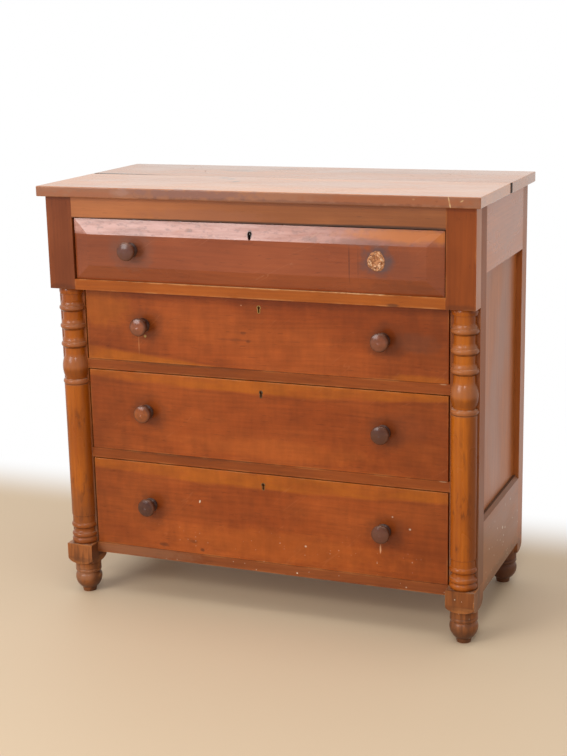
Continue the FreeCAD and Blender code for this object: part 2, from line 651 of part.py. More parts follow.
# Both sides of the case: framed panel, posts, feet, column and frieze block.
BLOCK_FRONT = f"({FRONT} + foot_block_setback)"
BLOCK_DEPTH = f"({POST_BACK} - {BLOCK_FRONT})"
PANEL_BACK = f"({HALF_CASE} - panel_recess - panel_thickness)"
POST_CENTRE = f"({LOWER_FRONT} + front_post_depth / 2)"
front_tenon_y = (f"{POST_BACK} - tenon_length", POST_BACK)
rear_tenon_y = (REAR_POST_FRONT, f"{REAR_POST_FRONT} + tenon_length")
foot_tenon_y = (f"{POST_CENTRE} - foot_tenon_depth / 2", f"{POST_CENTRE} + foot_tenon_depth / 2")
for place, (side, word) in enumerate(SIDES):
    post_x = span(side, HALF_OPENING, HALF_CASE)
    axis_x = POST_MIDDLE if side > 0 else f"-{POST_MIDDLE}"

    # The side panel, and the rails above and below it with their tenons.
    panel = keep(board(f"side_panel_{word}", span(side, PANEL_BACK, f"{HALF_CASE} - panel_recess"),
                       (f"{POST_BACK} - panel_groove", f"{REAR_POST_FRONT} + panel_groove"),
                       (f"{PANEL_BOTTOM} - panel_groove", f"{PANEL_TOP} + panel_groove")))
    tenon_x = span(side, f"{SIDE_INSIDE} + tenon_shoulder", f"{HALF_CASE} - tenon_shoulder")
    rail_x = span(side, SIDE_INSIDE, HALF_CASE)
    upper_bar = board(f"side_top_bar_{word}", rail_x, (POST_BACK, REAR_POST_FRONT), (PANEL_TOP, CASE_TOP))
    lower_bar = bevelled_rail(f"side_bottom_bar_{word}", side)
    upper_z = (f"{PANEL_TOP} + panel_groove + tenon_shoulder", f"{CASE_TOP} - tenon_shoulder")
    lower_z = (f"{BOTTOM_FLOOR} + tenon_shoulder", f"{PANEL_BOTTOM} - panel_groove - tenon_shoulder")
    front_ends = []
    rear_ends = []
    for name, bar, tenon_z in (
        ("side_top_rail", upper_bar, upper_z),
        ("side_bottom_rail", lower_bar, lower_z),
    ):
        front_end = board(f"{name}_front_tenon_{word}", tenon_x, front_tenon_y, tenon_z)
        rear_end = board(f"{name}_rear_tenon_{word}", tenon_x, rear_tenon_y, tenon_z)
        front_ends.append(front_end)
        rear_ends.append(rear_end)
        keep(cut(f"{name}_{word}", fused(f"{name}_tenoned_{word}", [bar, front_end, rear_end]), [panel]))

    # The front foot: a square block turned to a ball below, tenoned up into the post.
    foot_stock = board(f"foot_stock_{word}", post_x, (BLOCK_FRONT, POST_BACK), ("0", BOTTOM_FLOOR))
    foot_turning = turned(f"foot_turning_{word}", "foot_pad_radius",
                          foot_outline("front_ball_radius", "foot_neck_height")
                          + square_above("post_width", BLOCK_DEPTH, BOTTOM_FLOOR))
    stand(foot_turning, axis_x, f"{BLOCK_FRONT} + {BLOCK_DEPTH} / 2", "0")
    foot_tenon_near = f"({HALF_OPENING} + tenon_shoulder)"
    foot_tenon_x = span(side, foot_tenon_near, f"{foot_tenon_near} + foot_tenon_width")
    foot_tenon = board(f"foot_tenon_{word}", foot_tenon_x, foot_tenon_y,
                       (BOTTOM_FLOOR, f"{BOTTOM_FLOOR} + foot_tenon_height"))
    foot_shape = shared(f"foot_shape_{word}", foot_stock, foot_turning)
    foot = fused(f"foot_tenoned_{word}", [foot_shape, foot_tenon])
    keep(cut(f"front_foot_{word}", foot, [tenons["bottom_front_rail"][place]]))

    # The front post, the frieze block glued to its face, and the half column below the block.
    post = board(f"front_post_stock_{word}", post_x, post_y, (BOTTOM_FLOOR, CASE_TOP))
    blade_ends = [tenons["upper_drawer_blade"][place], tenons["lower_drawer_blade"][place]]
    keep(cut(f"front_post_{word}", post, [foot_tenon, panel] + front_ends + blade_ends))
    block = board(f"frieze_block_stock_{word}", post_x, (FRONT, LOWER_FRONT), (SOFFIT, CASE_TOP))
    keep(cut(f"frieze_block_{word}", block, [tenons["frieze_rail"][place], tenons["soffit_rail"][place]]))
    column = turned(f"half_column_{word}", "column_fillet_radius", column_outline, sweep=180)
    column.Tip.Reversed = True
    keep(stand(column, axis_x, LOWER_FRONT, BOTTOM_FLOOR))

    # The rear post, glued up to a stouter foot at its lower end and rebated for the back boards.
    # Its shoulders are turned about the axis of the foot.
    foot_y = f"({BACK} - rear_foot_setback)"
    foot_x = f"({HALF_CASE} - rear_foot_inset)" if side > 0 else f"-({HALF_CASE} - rear_foot_inset)"
    rear_foot = turned(f"rear_foot_{word}", "foot_pad_radius",
                       foot_outline("rear_ball_radius", f"floor_clearance - {RING_TOP}")
                       + [("straight", None, "0")])
    rear_stock = board(f"rear_post_stock_{word}", post_x, (REAR_POST_FRONT, BACK),
                       (f"{RING_TOP} + foot_neck_height", CASE_TOP))
    rear_turning = turned(f"rear_post_turning_{word}", "foot_pad_radius",
                          foot_outline("rear_ball_radius", "foot_neck_height")
                          + square_above("2 * rear_foot_inset", "2 * rear_foot_setback", CASE_TOP))
    stand(rear_foot, foot_x, foot_y, "0")
    stand(rear_turning, foot_x, foot_y, "0")
    rear_shape = shared(f"rear_post_shape_{word}", rear_stock, rear_turning)
    rebate = board(f"back_rebate_{word}", span(side, HALF_OPENING, REBATE_EDGE), back_board_y,
                   ("floor_clearance", CASE_TOP))
    rear_cuts = [panel, rebate, back_tenons[place], back_tenons[place + 2]] + rear_ends
    keep(cut(f"rear_post_{word}", fused(f"rear_post_footed_{word}", [rear_shape, rear_foot]), rear_cuts))

# Guides beside the drawers, kickers above the top one, and stops behind the drawer fronts.
guides = []
stops = []
for side, word in SIDES:
    guides.append(board(f"kicker_{word}", span(side, f"{HALF_OPENING} - runner_width", HALF_OPENING),
                        (f"{FRONT} + frieze_rail_thickness", BACK_RAIL_FRONT),
                        (TOP_CEILING, f"{TOP_CEILING} + kicker_height")))
    for name, floor, ceiling, back_of_front in OPENINGS:
        guides.append(board(f"{name}_guide_{word}", span(side, HALF_OPENING, SIDE_INSIDE),
                            (POST_BACK, REAR_POST_FRONT), (floor, f"{floor} + guide_height")))
        stop_far = f"({HALF_OPENING} - stop_inset)"
        stop_front = f"({back_of_front} + running_gap)"
        stops.append(board(f"{name}_stop_{word}", span(side, f"{stop_far} - stop_width", stop_far),
                           (stop_front, f"{stop_front} + stop_depth"), (floor, f"{floor} + stop_height")))
keep(group("drawer_guides", guides))
keep(group("drawer_stops", stops))


def dovetails(name, x, y, z, count, wide_end):
    """A row of tails between two heights, widest at the front or at the rear."""
    pitch = f"(({z[1]} - {z[0]}) / {count})"
    tails = []
    for place in range(count):
        low = f"{z[0]} + {place} * {pitch} + dovetail_pin / 2"
        high = f"{z[0]} + {place + 1} * {pitch} - dovetail_pin / 2"
        wide = (low, high)
        narrow = (f"{low} + dovetail_flare", f"{high} - dovetail_flare")
        front_z, rear_z = (wide, narrow) if wide_end == "front" else (narrow, wide)
        tails.append(tapered(f"{name}_{place}", y, x, front_z, x, rear_z))
    return tails


def keyhole(name, margin, y, z):
    """A keyhole shape with its round head at height z, made larger all round by a margin."""
    half_slot = f"(keyhole_slot_width / 2 + {margin})"
    slot_end = f"({z} - keyhole_slot_drop)"
    return fused(name, [
        dowel(name + "_head", f"keyhole_head_radius + {margin}", "0", y, z),
        dowel(name + "_end", half_slot, "0", y, slot_end),
        board(name + "_slot", (f"-{half_slot}", half_slot), y, (slot_end, z)),
    ])


def knob(name, x, seat, back_of_front, z):
    """A turned knob whose tenon goes right through the drawer front."""
    rim = "(knob_radius - knob_rim_depth)"
    base_edge = "(knob_base_radius - knob_base_height / 4)"
    rises = "knob_base_height + knob_neck_height + knob_cup_height + knob_rim_height"
    body = turned(name, "knob_tenon_radius", [
        ("straight", f"{back_of_front} - {seat}", "knob_tenon_radius"),
        ("straight", None, base_edge),
        ("round", "knob_base_height / 2", "knob_base_radius"),
        ("round", "knob_base_height / 2", base_edge),
        ("hollow", "knob_neck_height", "knob_neck_radius"),
        ("hollow", "knob_cup_height", rim),
        ("round", "knob_rim_height / 2", "knob_radius"),
        ("round", "knob_rim_height / 2", rim),
        ("dome", f"knob_length - ({rises})", "0"),
    ])
    body.Placement.Rotation = FreeCAD.Rotation(FreeCAD.Vector(1, 0, 0), 90)
    return stand(body, x, back_of_front, z)


# The four drawers. The tails of the sides lap into the front and go right through the back.
TAIL_COUNTS = {"top": 4, "second": 5, "third": 6, "bottom": 6}
for name, floor, ceiling, back in OPENINGS:
    label = f"{name}_drawer"
    seat = FIELD if name == "top" else LOWER_FRONT
    low = f"({floor} + running_gap)"
    high = f"({ceiling} - drawer_top_gap)"
    side_high = f"({high} - drawer_side_drop)"
    bottom_low = f"({low} + drawer_bottom_rise)"
    bottom_high = f"({bottom_low} + drawer_bottom_thickness)"
    back_front = f"({DRAWER_END} - drawer_back_thickness)"
    side_inside = f"({HALF_DRAWER} - drawer_side_thickness)"
    full_width = (f"-{HALF_DRAWER}", HALF_DRAWER)

    # The bottom slides in grooves of the front and sides, under the back.
    groove_edge = f"({side_inside} + drawer_groove)"
    bottom = keep(board(f"{label}_bottom", (f"-{groove_edge}", groove_edge),
                        (f"{back} - drawer_groove", DRAWER_END), (bottom_low, bottom_high)))

    # Sides, with tails at both ends.
    sides = []
    front_tails = []
    rear_tails = []
    for side, word in SIDES:
        side_x = span(side, side_inside, HALF_DRAWER)
        here = f"{label}_side_{word}"
        ahead = dovetails(f"{here}_front_tail", side_x, (f"{back} - dovetail_lap", back), (low, side_high),
                          TAIL_COUNTS[name], "front")
        behind = dovetails(f"{here}_rear_tail", side_x, (back_front, DRAWER_END), (bottom_high, side_high),
                           TAIL_COUNTS[name], "rear")
        length = board(f"{here}_length", side_x, (back, back_front), (low, side_high))
        heel = board(f"{here}_heel", side_x, (back_front, DRAWER_END), (low, bottom_high))
        sides.append(cut(here, fused(f"{here}_joined", [length, heel] + ahead + behind), [bottom]))
        front_tails += ahead
        rear_tails += behind
    keep(group(f"{label}_sides", sides))
    keep(cut(f"{label}_back", board(f"{label}_back_stock", full_width, (back_front, DRAWER_END),
                                    (bottom_high, side_high)), rear_tails))

    # The lock, let into the back and the top edge of the front, and its bolt.
    lock_front = f"({back} - lock_thickness)"
    drop = "top_keyhole_drop" if name == "top" else "lower_keyhole_drop"
    key_height = f"({ceiling} - {drop})"
    lock_case = board(f"{label}_lock_case", ("-lock_width / 2", "lock_width / 2"), (lock_front, back),
                      (f"{high} - lock_height", high))
    selvedge = board(f"{label}_lock_selvedge", ("-selvedge_width / 2", "selvedge_width / 2"),
                     (lock_front, back), (f"{high} - selvedge_thickness", high))
    bolt_back = f"({back} - bolt_inset)"
    bolt_front = f"({bolt_back} - bolt_thickness)"
    slot_half = "(bolt_width / 2 + bolt_clearance)"
    slot = board(f"{label}_bolt_slot", (f"-{slot_half}", slot_half),
                 (f"{bolt_front} - bolt_clearance", f"{bolt_back} + bolt_clearance"),
                 (f"{high} - bolt_height - bolt_clearance", high))
    key_way = keyhole(f"{label}_key_way", "0", (lock_front, f"{lock_front} + key_depth"), key_height)
    keep(cut(f"{label}_lock", fused(f"{label}_lock_body", [lock_case, selvedge]), [slot, key_way]))
    keep(board(f"{label}_lock_bolt", ("-bolt_width / 2", "bolt_width / 2"), (bolt_front, bolt_back),
               (f"{high} - bolt_height", high)))

    # Knobs. The right one of the top drawer has snapped off and left its tenon in the hole.
    knob_level = f"(({floor} + {ceiling}) / 2 + knob_rise)"
    holes = []
    knobs = []
    for side, word in SIDES:
        x = f"({HALF_DRAWER} - knob_inset)" if side > 0 else f"-({HALF_DRAWER} - knob_inset)"
        holes.append(dowel(f"{label}_knob_hole_{word}", "knob_tenon_radius + knob_fit", x,
                           (seat, back), knob_level))
        if name == "top" and side > 0:
            keep(dowel(f"{label}_broken_tenon", "knob_tenon_radius", x,
                       (f"{seat} + stub_sink", back), knob_level))
        else:
            knobs.append(knob(f"{label}_knob_{word}", x, seat, back, knob_level))
    if len(knobs) > 1:
        keep(group(f"{label}_knobs", knobs))
    else:
        keep(knobs[0])

    # The front: plain and flush below, a raised field with broad bevels on the top drawer.
    if name == "top":
        slab = board(f"{label}_slab", full_width, (TOP_EDGE, back), (low, high))
        field_edge = f"({HALF_DRAWER} - field_side_border)"
        field_x = (f"-{field_edge}", field_edge)
        field_z = (f"{low} + field_bottom_border", f"{high} - field_top_border")
        field = tapered(f"{label}_field", (FIELD, TOP_EDGE), field_x, field_z, full_width, (low, high))
        front = fused(f"{label}_raised", [slab, field])
        openings = [keyhole(f"{label}_keyhole", "escutcheon_wall", (seat, lock_front), key_height)]
    else:
        front = eased_board(f"{label}_slab", full_width, (seat, back), (low, high), "front_edge_ease",
                            lambda start, end: max(start.y, end.y) == 0)
        liner_y = (seat, f"{seat} + escutcheon_depth")
        openings = [
            keyhole(f"{label}_keyhole", "0", (seat, lock_front), key_height),
            keyhole(f"{label}_liner_seat", "(escutcheon_wall + liner_fit)", liner_y, key_height),
        ]
        liner = keyhole(f"{label}_liner", "escutcheon_wall", liner_y, key_height)
        keep(cut(f"{label}_escutcheon", liner, [keyhole(f"{label}_liner_hole", "0", liner_y, key_height)]))
    keep(cut(f"{label}_front", front, front_tails + [bottom, lock_case, selvedge] + holes + openings))

doc.recompute()
for thing in doc.Objects:
    if {"Invalid", "Error"} & set(thing.State):
        raise RuntimeError(f"{thing.Label} could not be made: {thing.State}")
for piece in pieces:
    if piece.Shape.isNull() or not piece.Shape.isValid():
        raise RuntimeError(f"{piece.Label} has no sound shape")
os.makedirs("parts", exist_ok=True)
for piece in pieces:
    piece.Shape.exportStep(f"parts/{piece.Label}.step")
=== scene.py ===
import math

import bmesh
import bpy
from mathutils import Matrix, Vector, noise


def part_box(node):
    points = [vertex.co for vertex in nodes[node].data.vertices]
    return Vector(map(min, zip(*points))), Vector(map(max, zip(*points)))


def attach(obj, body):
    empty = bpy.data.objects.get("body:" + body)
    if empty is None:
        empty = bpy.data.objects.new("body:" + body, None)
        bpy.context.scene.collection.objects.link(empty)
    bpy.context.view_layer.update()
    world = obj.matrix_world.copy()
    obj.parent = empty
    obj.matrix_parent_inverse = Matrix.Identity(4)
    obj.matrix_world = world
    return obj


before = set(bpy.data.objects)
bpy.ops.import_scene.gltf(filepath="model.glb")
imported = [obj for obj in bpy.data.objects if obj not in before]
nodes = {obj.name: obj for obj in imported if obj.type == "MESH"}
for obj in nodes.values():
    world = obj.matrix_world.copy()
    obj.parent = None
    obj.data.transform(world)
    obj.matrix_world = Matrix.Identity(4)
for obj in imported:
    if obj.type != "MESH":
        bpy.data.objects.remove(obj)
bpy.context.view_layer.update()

# The front posts are the square cherry uprights behind the columns, mortised for every rail.
# They are sawn and planed, and their shellac has gone a warm red brown with age.


def fill(tree, node, inputs):
    """Links or sets the named inputs of a shader node."""
    for name, value in inputs.items():
        if isinstance(value, bpy.types.NodeSocket):
            tree.links.new(value, node.inputs[name])
        else:
            node.inputs[name].default_value = value


def place(tree, kind, inputs=None, **settings):
    """Adds a shader node, sets it up and fills its inputs."""
    made = tree.nodes.new(kind)
    for name, setting in settings.items():
        setattr(made, name, setting)
    fill(tree, made, inputs or {})
    return made


def calc(tree, operation, first, second=0.0):
    """One step of arithmetic."""
    return place(tree, "ShaderNodeMath", {0: first, 1: second}, operation=operation).outputs[0]


def times(tree, first, second):
    """The product of two values."""
    return calc(tree, "MULTIPLY", first, second)


def ramp(tree, value, start, end, low=0.0, high=1.0):
    """Eases from low to high as a value goes from start to end."""
    return place(tree, "ShaderNodeMapRange", {
        "Value": value, "From Min": start, "From Max": end, "To Min": low, "To Max": high,
    }, interpolation_type="SMOOTHSTEP").outputs["Result"]


def cloud(tree, spot, waves, detail=3.0):
    """Soft noise with the given number of waves to the metre along each axis."""
    spread = place(tree, "ShaderNodeMapping", {"Vector": spot, "Scale": waves})
    return place(tree, "ShaderNodeTexNoise", {
        "Vector": spread.outputs[0], "Scale": 1.0, "Detail": detail, "Roughness": 0.55,
    }).outputs["Fac"]


def axes(tree, spot):
    """The x, y and z of a point."""
    return place(tree, "ShaderNodeSeparateXYZ", {"Vector": spot}).outputs


def tint(tree, mask, under, over):
    """Lays one colour over another where a mask is white."""
    under, over = ((*color, 1.0) if isinstance(color, tuple) else color for color in (under, over))
    return place(tree, "ShaderNodeMix", {0: mask, 6: under, 7: over}, data_type="RGBA").outputs[2]


def shade(tree, color, factor):
    """Makes a colour darker or brighter."""
    return place(tree, "ShaderNodeVectorMath", {0: color, "Scale": factor}, operation="SCALE").outputs[0]


def new_group(name, inputs, outputs):
    """An empty shader node group, and the sockets that its inputs come in by."""
    tree = bpy.data.node_groups.new(name, "ShaderNodeTree")
    for way, sockets in (("INPUT", inputs), ("OUTPUT", outputs)):
        for socket, kind in sockets.items():
            tree.interface.new_socket(socket, in_out=way, socket_type=f"NodeSocket{kind}")
    return tree, place(tree, "NodeGroupInput").outputs


def shared(tree, effect, **inputs):
    """Places a node group in a material and gives its outputs."""
    return place(tree, "ShaderNodeGroup", inputs, node_tree=effect).outputs


def build_grain():
    """Wood whose tree stood along x: growth rings, soft figure, fibres and short gum flecks."""
    tree, given = new_group("wood grain", {"Vector": "Vector", "Deep": "Color", "Bright": "Color",
                                           "Gloss": "Float"},
                            {"Color": "Color", "Roughness": "Float", "Height": "Float"})
    slow = place(tree, "ShaderNodeMapping", {"Vector": given["Vector"], "Scale": (0.8, 3.0, 3.0)})
    wander = place(tree, "ShaderNodeTexNoise", {"Vector": slow.outputs[0], "Scale": 1.0, "Detail": 2.0})
    bent = place(tree, "ShaderNodeVectorMath", {
        0: wander.outputs["Color"], 1: (0.0, 0.11, 0.11), 2: given["Vector"],
    }, operation="MULTIPLY_ADD").outputs[0]
    rings = place(tree, "ShaderNodeTexWave", {"Vector": bent, "Scale": 26.0}, wave_type="RINGS",
                  rings_direction="X").outputs["Fac"]
    figure = cloud(tree, bent, (1.8, 10.0, 10.0), detail=3.5)
    mottle = cloud(tree, given["Vector"], (4.0, 8.0, 8.0))
    streak = cloud(tree, bent, (1.6, 110.0, 110.0), detail=2.0)
    fibre = cloud(tree, given["Vector"], (9.0, 560.0, 560.0), detail=2.0)
    fleck = ramp(tree, cloud(tree, given["Vector"], (30.0, 360.0, 360.0), detail=1.0), 0.66, 0.75)
    tone = calc(tree, "ADD", times(tree, figure, 0.45), times(tree, mottle, 0.5))
    tone = calc(tree, "ADD", tone, times(tree, rings, 0.04))
    color = tint(tree, ramp(tree, tone, 0.33, 0.67), given["Deep"], given["Bright"])
    color = shade(tree, color, ramp(tree, streak, 0.3, 0.7, 0.965, 1.03))
    color = shade(tree, color, ramp(tree, fibre, 0.3, 0.7, 0.95, 1.04))
    color = shade(tree, color, ramp(tree, fleck, 0.0, 1.0, 1.0, 0.76))
    rough = calc(tree, "ADD", given["Gloss"], ramp(tree, mottle, 0.35, 0.65, -0.04, 0.05))
    height = times(tree, calc(tree, "SUBTRACT", fibre, fleck), 0.6)
    place(tree, "NodeGroupOutput", {"Color": color, "Roughness": rough, "Height": height})
    return tree


def build_wear():
    """Where the long edges of a square bar have been rubbed, unevenly."""
    tree, given = new_group("worn edges", {"Vector": "Vector", "Middle": "Vector", "Half": "Vector"},
                            {"Mask": "Float"})
    away = place(tree, "ShaderNodeVectorMath", {0: given["Vector"], 1: given["Middle"]},
                 operation="SUBTRACT")
    away = place(tree, "ShaderNodeVectorMath", {0: away.outputs[0]}, operation="ABSOLUTE")
    inward = place(tree, "ShaderNodeVectorMath", {0: given["Half"], 1: away.outputs[0]},
                   operation="SUBTRACT")
    x, y, z = axes(tree, inward.outputs[0])
    least = calc(tree, "MINIMUM", calc(tree, "MINIMUM", x, y), z)
    most = calc(tree, "MAXIMUM", calc(tree, "MAXIMUM", x, y), z)
    total = calc(tree, "ADD", calc(tree, "ADD", x, y), z)
    from_edge = calc(tree, "SUBTRACT", calc(tree, "SUBTRACT", total, least), most)
    close = ramp(tree, from_edge, 0.0, 0.005, 1.0, 0.0)
    patchy = ramp(tree, cloud(tree, given["Vector"], (16.0, 16.0, 16.0), detail=4.0), 0.4, 0.66)
    place(tree, "NodeGroupOutput", {"Mask": times(tree, close, patchy)})
    return tree


wood_grain = build_grain()
worn_edges = build_wear()
GRAIN_TURN = {"x": (0.0, 0.0, 0.0), "y": (0.0, 0.0, math.pi / 2), "z": (0.0, -math.pi / 2, 0.0)}
RUBBED = (0.48, 0.18, 0.05)


def stain(tree, look, mask, color):
    """Lays a colour over a piece where a mask is white."""
    look["color"] = tint(tree, mask, look["color"], color)


def roughen(tree, look, mask, amount):
    """Takes the polish off a piece where a mask is white."""
    look["rough"] = calc(tree, "ADD", look["rough"], times(tree, mask, amount))


def rubbed(low, high, amount=0.5):
    """A mark: the finish is rubbed thin along the edges of a bar between two corners."""
    def lay(tree, spot, look):
        middle, half = (Vector(low) + Vector(high)) / 2, (Vector(high) - Vector(low)) / 2
        wear = shared(tree, worn_edges, Vector=spot, Middle=middle, Half=half)
        stain(tree, look, times(tree, wear["Mask"], amount), RUBBED)
    return lay


def facing(axis, way, color, amount, rougher=0.0):
    """A mark: the faces of a piece that look one way along an axis have another colour."""
    def lay(tree, spot, look):
        normal = axes(tree, place(tree, "ShaderNodeNewGeometry").outputs["True Normal"])
        mask = ramp(tree, times(tree, normal[axis], way), 0.5, 0.9, 0.0, amount)
        stain(tree, look, mask, color)
        roughen(tree, look, mask, rougher)
    return lay


def new_material(name):
    """A plain material, its node tree, its shader and the point of the object that is shaded."""
    material = bpy.data.materials.new(name)
    material.use_nodes = True
    tree = material.node_tree
    spot = place(tree, "ShaderNodeTexCoord").outputs["Object"]
    return material, tree, tree.nodes["Principled BSDF"], spot


def relief(tree, height, strength, distance):
    """Fine bumps in a surface."""
    return place(tree, "ShaderNodeBump", {
        "Height": height, "Strength": strength, "Distance": distance,
    }).outputs[0]


def wood(name, along, heart, colors, gloss=0.32, shellac=0.08, marks=()):
    """Wood with its grain along one axis, sawn at a distance from the heart, with marks laid over it."""
    material, tree, shader, spot = new_material(name)
    sawn = place(tree, "ShaderNodeMapping", {
        "Vector": spot, "Location": heart, "Rotation": GRAIN_TURN[along],
    }, vector_type="TEXTURE").outputs[0]
    deep, bright = ((*color, 1.0) for color in colors)
    grain = shared(tree, wood_grain, Vector=sawn, Deep=deep, Bright=bright, Gloss=gloss)
    look = {"color": grain["Color"], "rough": grain["Roughness"], "height": grain["Height"]}
    for mark in marks:
        mark(tree, spot, look)
    fill(tree, shader, {
        "Base Color": look["color"], "Roughness": look["rough"],
        "Normal": relief(tree, look["height"], 0.12, 0.0006),
        "Specular IOR Level": 0.2 + 0.4 * shellac, "Coat Weight": shellac, "Coat Roughness": 0.16,
    })
    return material


def paint(name, material):
    """Gives a CAD node a material."""
    nodes[name].data.materials.clear()
    nodes[name].data.materials.append(material)


def dress(name, along, heart, colors, **finish):
    """Gives a CAD node a wood of its own."""
    paint(name, wood(name.replace("_", " "), along, heart, colors, **finish))


SIDES = ((-1, "left"), (1, "right"))
SIDE_CHERRY = ((0.31, 0.088, 0.019), (0.47, 0.150, 0.038))
FRONT_CHERRY = (0.195, 0.047, 0.010)
LOWER_GREY = (0.21, 0.115, 0.075)


def greyer_lower_end(tree, spot, look):
    """A mark: an upright turns greyer towards its lower end."""
    stain(tree, look, ramp(tree, axes(tree, spot)["Z"], 0.15, 0.55, 0.6, 0.0), LOWER_GREY)


for side, word in SIDES:
    post = f"front_post_{word}"
    marks = [facing("Y", -1, FRONT_CHERRY, 0.9), facing("X", side, FRONT_CHERRY, 0.6, rougher=0.3),
             rubbed(*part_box(post), 0.25), greyer_lower_end]
    dress(post, "z", (side * 0.46, -0.12, 2.0 + side), SIDE_CHERRY, gloss=0.36, marks=marks)

# Each side is a frame of two wide cherry rails, tenoned into the posts, round a thin sunk panel.
# The lower rail has its top edge bevelled, and dried paint has spattered its outer face.


def build_specks():
    """Small round drops that have dried where they fell."""
    tree, given = new_group("paint specks", {"Vector": "Vector"}, {"Mask": "Float"})
    x, y, z = axes(tree, given["Vector"])
    upright = place(tree, "ShaderNodeCombineXYZ", {"X": calc(tree, "ADD", x, y), "Y": z}).outputs[0]
    drops = place(tree, "ShaderNodeTexVoronoi", {"Vector": upright, "Scale": 62.0}, voronoi_dimensions="2D")
    lot = place(tree, "ShaderNodeSeparateColor", {"Color": drops.outputs["Color"]}).outputs
    size = ramp(tree, lot["Green"], 0.2, 1.0, 0.05, 0.15)
    inside = ramp(tree, calc(tree, "SUBTRACT", drops.outputs["Distance"], size), -0.02, 0.02, 1.0, 0.0)
    chosen = ramp(tree, lot["Red"], 0.88, 0.89)
    place(tree, "NodeGroupOutput", {"Mask": times(tree, inside, chosen)})
    return tree


paint_specks = build_specks()
DRIED_PAINT = (0.70, 0.60, 0.46)


def patch(tree, spot, middle, reach, ragged=0.25, turn=0.0):
    """A soft oval mask round a point, turned in the plane of the front, with an uneven rim."""
    local = place(tree, "ShaderNodeMapping", {
        "Vector": spot, "Location": middle, "Scale": reach, "Rotation": (0.0, turn, 0.0),
    }, vector_type="TEXTURE").outputs[0]
    away = place(tree, "ShaderNodeVectorMath", {0: local}, operation="LENGTH").outputs["Value"]
    uneven = calc(tree, "SUBTRACT", cloud(tree, spot, (45.0, 45.0, 45.0)), 0.5)
    away = calc(tree, "ADD", away, times(tree, uneven, ragged * 4))
    return ramp(tree, away, 0.45, 1.1, 1.0, 0.0)


def smudge(middle, reach, color, amount, ragged=0.25, turn=0.0):
    """A mark: an oval patch of another colour."""
    def lay(tree, spot, look):
        stain(tree, look, times(tree, patch(tree, spot, middle, reach, ragged, turn), amount), color)
    return lay


def spattered(middle, reach, amount=0.85, size=1.0):
    """A mark: drops of dried paint that stand a little proud, within an oval."""
    def lay(tree, spot, look):
        drops = shared(tree, paint_specks, Vector=shade(tree, spot, 1.0 / size))
        mask = times(tree, drops["Mask"], patch(tree, spot, middle, reach))
        mask = times(tree, mask, amount)
        stain(tree, look, mask, DRIED_PAINT)
        look["height"] = calc(tree, "ADD", look["height"], mask)
    return lay


SIDE_FACE = 0.558
TOP_RAIL = ((0.37, 0.094, 0.018), (0.56, 0.160, 0.035))
RAIL_GREY = (0.29, 0.135, 0.07)
RAIL_DIRT = (0.10, 0.045, 0.022)
for side, word in SIDES:
    dress(f"side_top_rail_{word}", "y", (side * 0.50, 3.0 + side, 0.97), TOP_RAIL, gloss=0.3, shellac=0.2)
    face = side * SIDE_FACE
    marks = [smudge((face, -0.05, 0.16), (0.1, 0.4, 0.2), RAIL_GREY, 0.55),
             spattered((face, 0.02, 0.17), (0.1, 0.24, 0.12), size=1.7),
             spattered((face, 0.05, 0.15), (0.1, 0.24, 0.08)),
             smudge((face, 0.03, 0.116), (0.1, 0.3, 0.03), RAIL_DIRT, 0.5),
             facing("Z", 1, RAIL_DIRT, 1.0, rougher=0.2)]
    dress(f"side_bottom_rail_{word}", "y", (side * 0.47, 6.0 + side, 0.22), SIDE_CHERRY, gloss=0.4,
          marks=marks)
    dress(f"side_panel_{word}", "z", (side * 0.44, 0.03, 8.0 + side), SIDE_CHERRY, gloss=0.38, shellac=0.1)

# The rear posts are cherry uprights whose lower ends are turned to ball feet on the lathe.
# They are rebated behind for the back boards; dust has settled on the upper faces of the turning, laid in
# with a painted highlight, and dirt under them, laid in with painted shade.


def build_dust_and_shading():
    """Dust with a painted highlight on what faces up, and dirt with painted shade on what faces down."""
    tree, given = new_group("dust dirt highlight and shade", {"Vector": "Vector"}, {"Dust": "Float", "Dirt": "Float"})
    up = axes(tree, place(tree, "ShaderNodeNewGeometry").outputs["Normal"])["Z"]
    patchy = ramp(tree, cloud(tree, given["Vector"], (70.0, 70.0, 70.0), detail=4.0), 0.36, 0.64)
    dust = times(tree, ramp(tree, up, 0.55, 0.95), patchy)
    dirt = times(tree, ramp(tree, up, -0.3, -0.85), ramp(tree, patchy, 0.0, 1.0, 0.5, 1.0))
    place(tree, "NodeGroupOutput", {"Dust": dust, "Dirt": dirt})
    return tree


dust_and_shading_effect = build_dust_and_shading()
DUST_AND_HIGHLIGHT = (0.46, 0.33, 0.24)
DIRT_AND_SHADE = (0.045, 0.016, 0.007)


def dust_dirt_and_shading(dust=0.3, dirt=0.6):
    """A mark: dust with a painted highlight on the upper faces of a turning, and dirt with painted shade
    under its rings.
    """
    def lay(tree, spot, look):
        settled = shared(tree, dust_and_shading_effect, Vector=spot)
        stain(tree, look, times(tree, settled["Dirt"], dirt), DIRT_AND_SHADE)
        mask = times(tree, settled["Dust"], dust)
        stain(tree, look, mask, DUST_AND_HIGHLIGHT)
        roughen(tree, look, mask, 0.5)
    return lay


POST_AXIS = 0.522
POST_HALF = 0.036
BACK_FACE = 0.264
REAR_FOOT_DIRT = (0.075, 0.030, 0.019)
for side, word in SIDES:
    axis = side * POST_AXIS
    # Dust with a painted highlight on upper faces and dirt with painted shade under the turning.
    marks = [rubbed((axis - POST_HALF, 0.216, 0.1), (axis + POST_HALF, BACK_FACE, 1.074)), dust_dirt_and_shading(),
             smudge((side * 0.517, 0.227, 0.0), (0.2, 0.2, 0.15), REAR_FOOT_DIRT, 0.85)]
    dress(f"rear_post_{word}", "z", (side * 0.47, 0.30, 12.0 + side), SIDE_CHERRY, gloss=0.4, marks=marks)

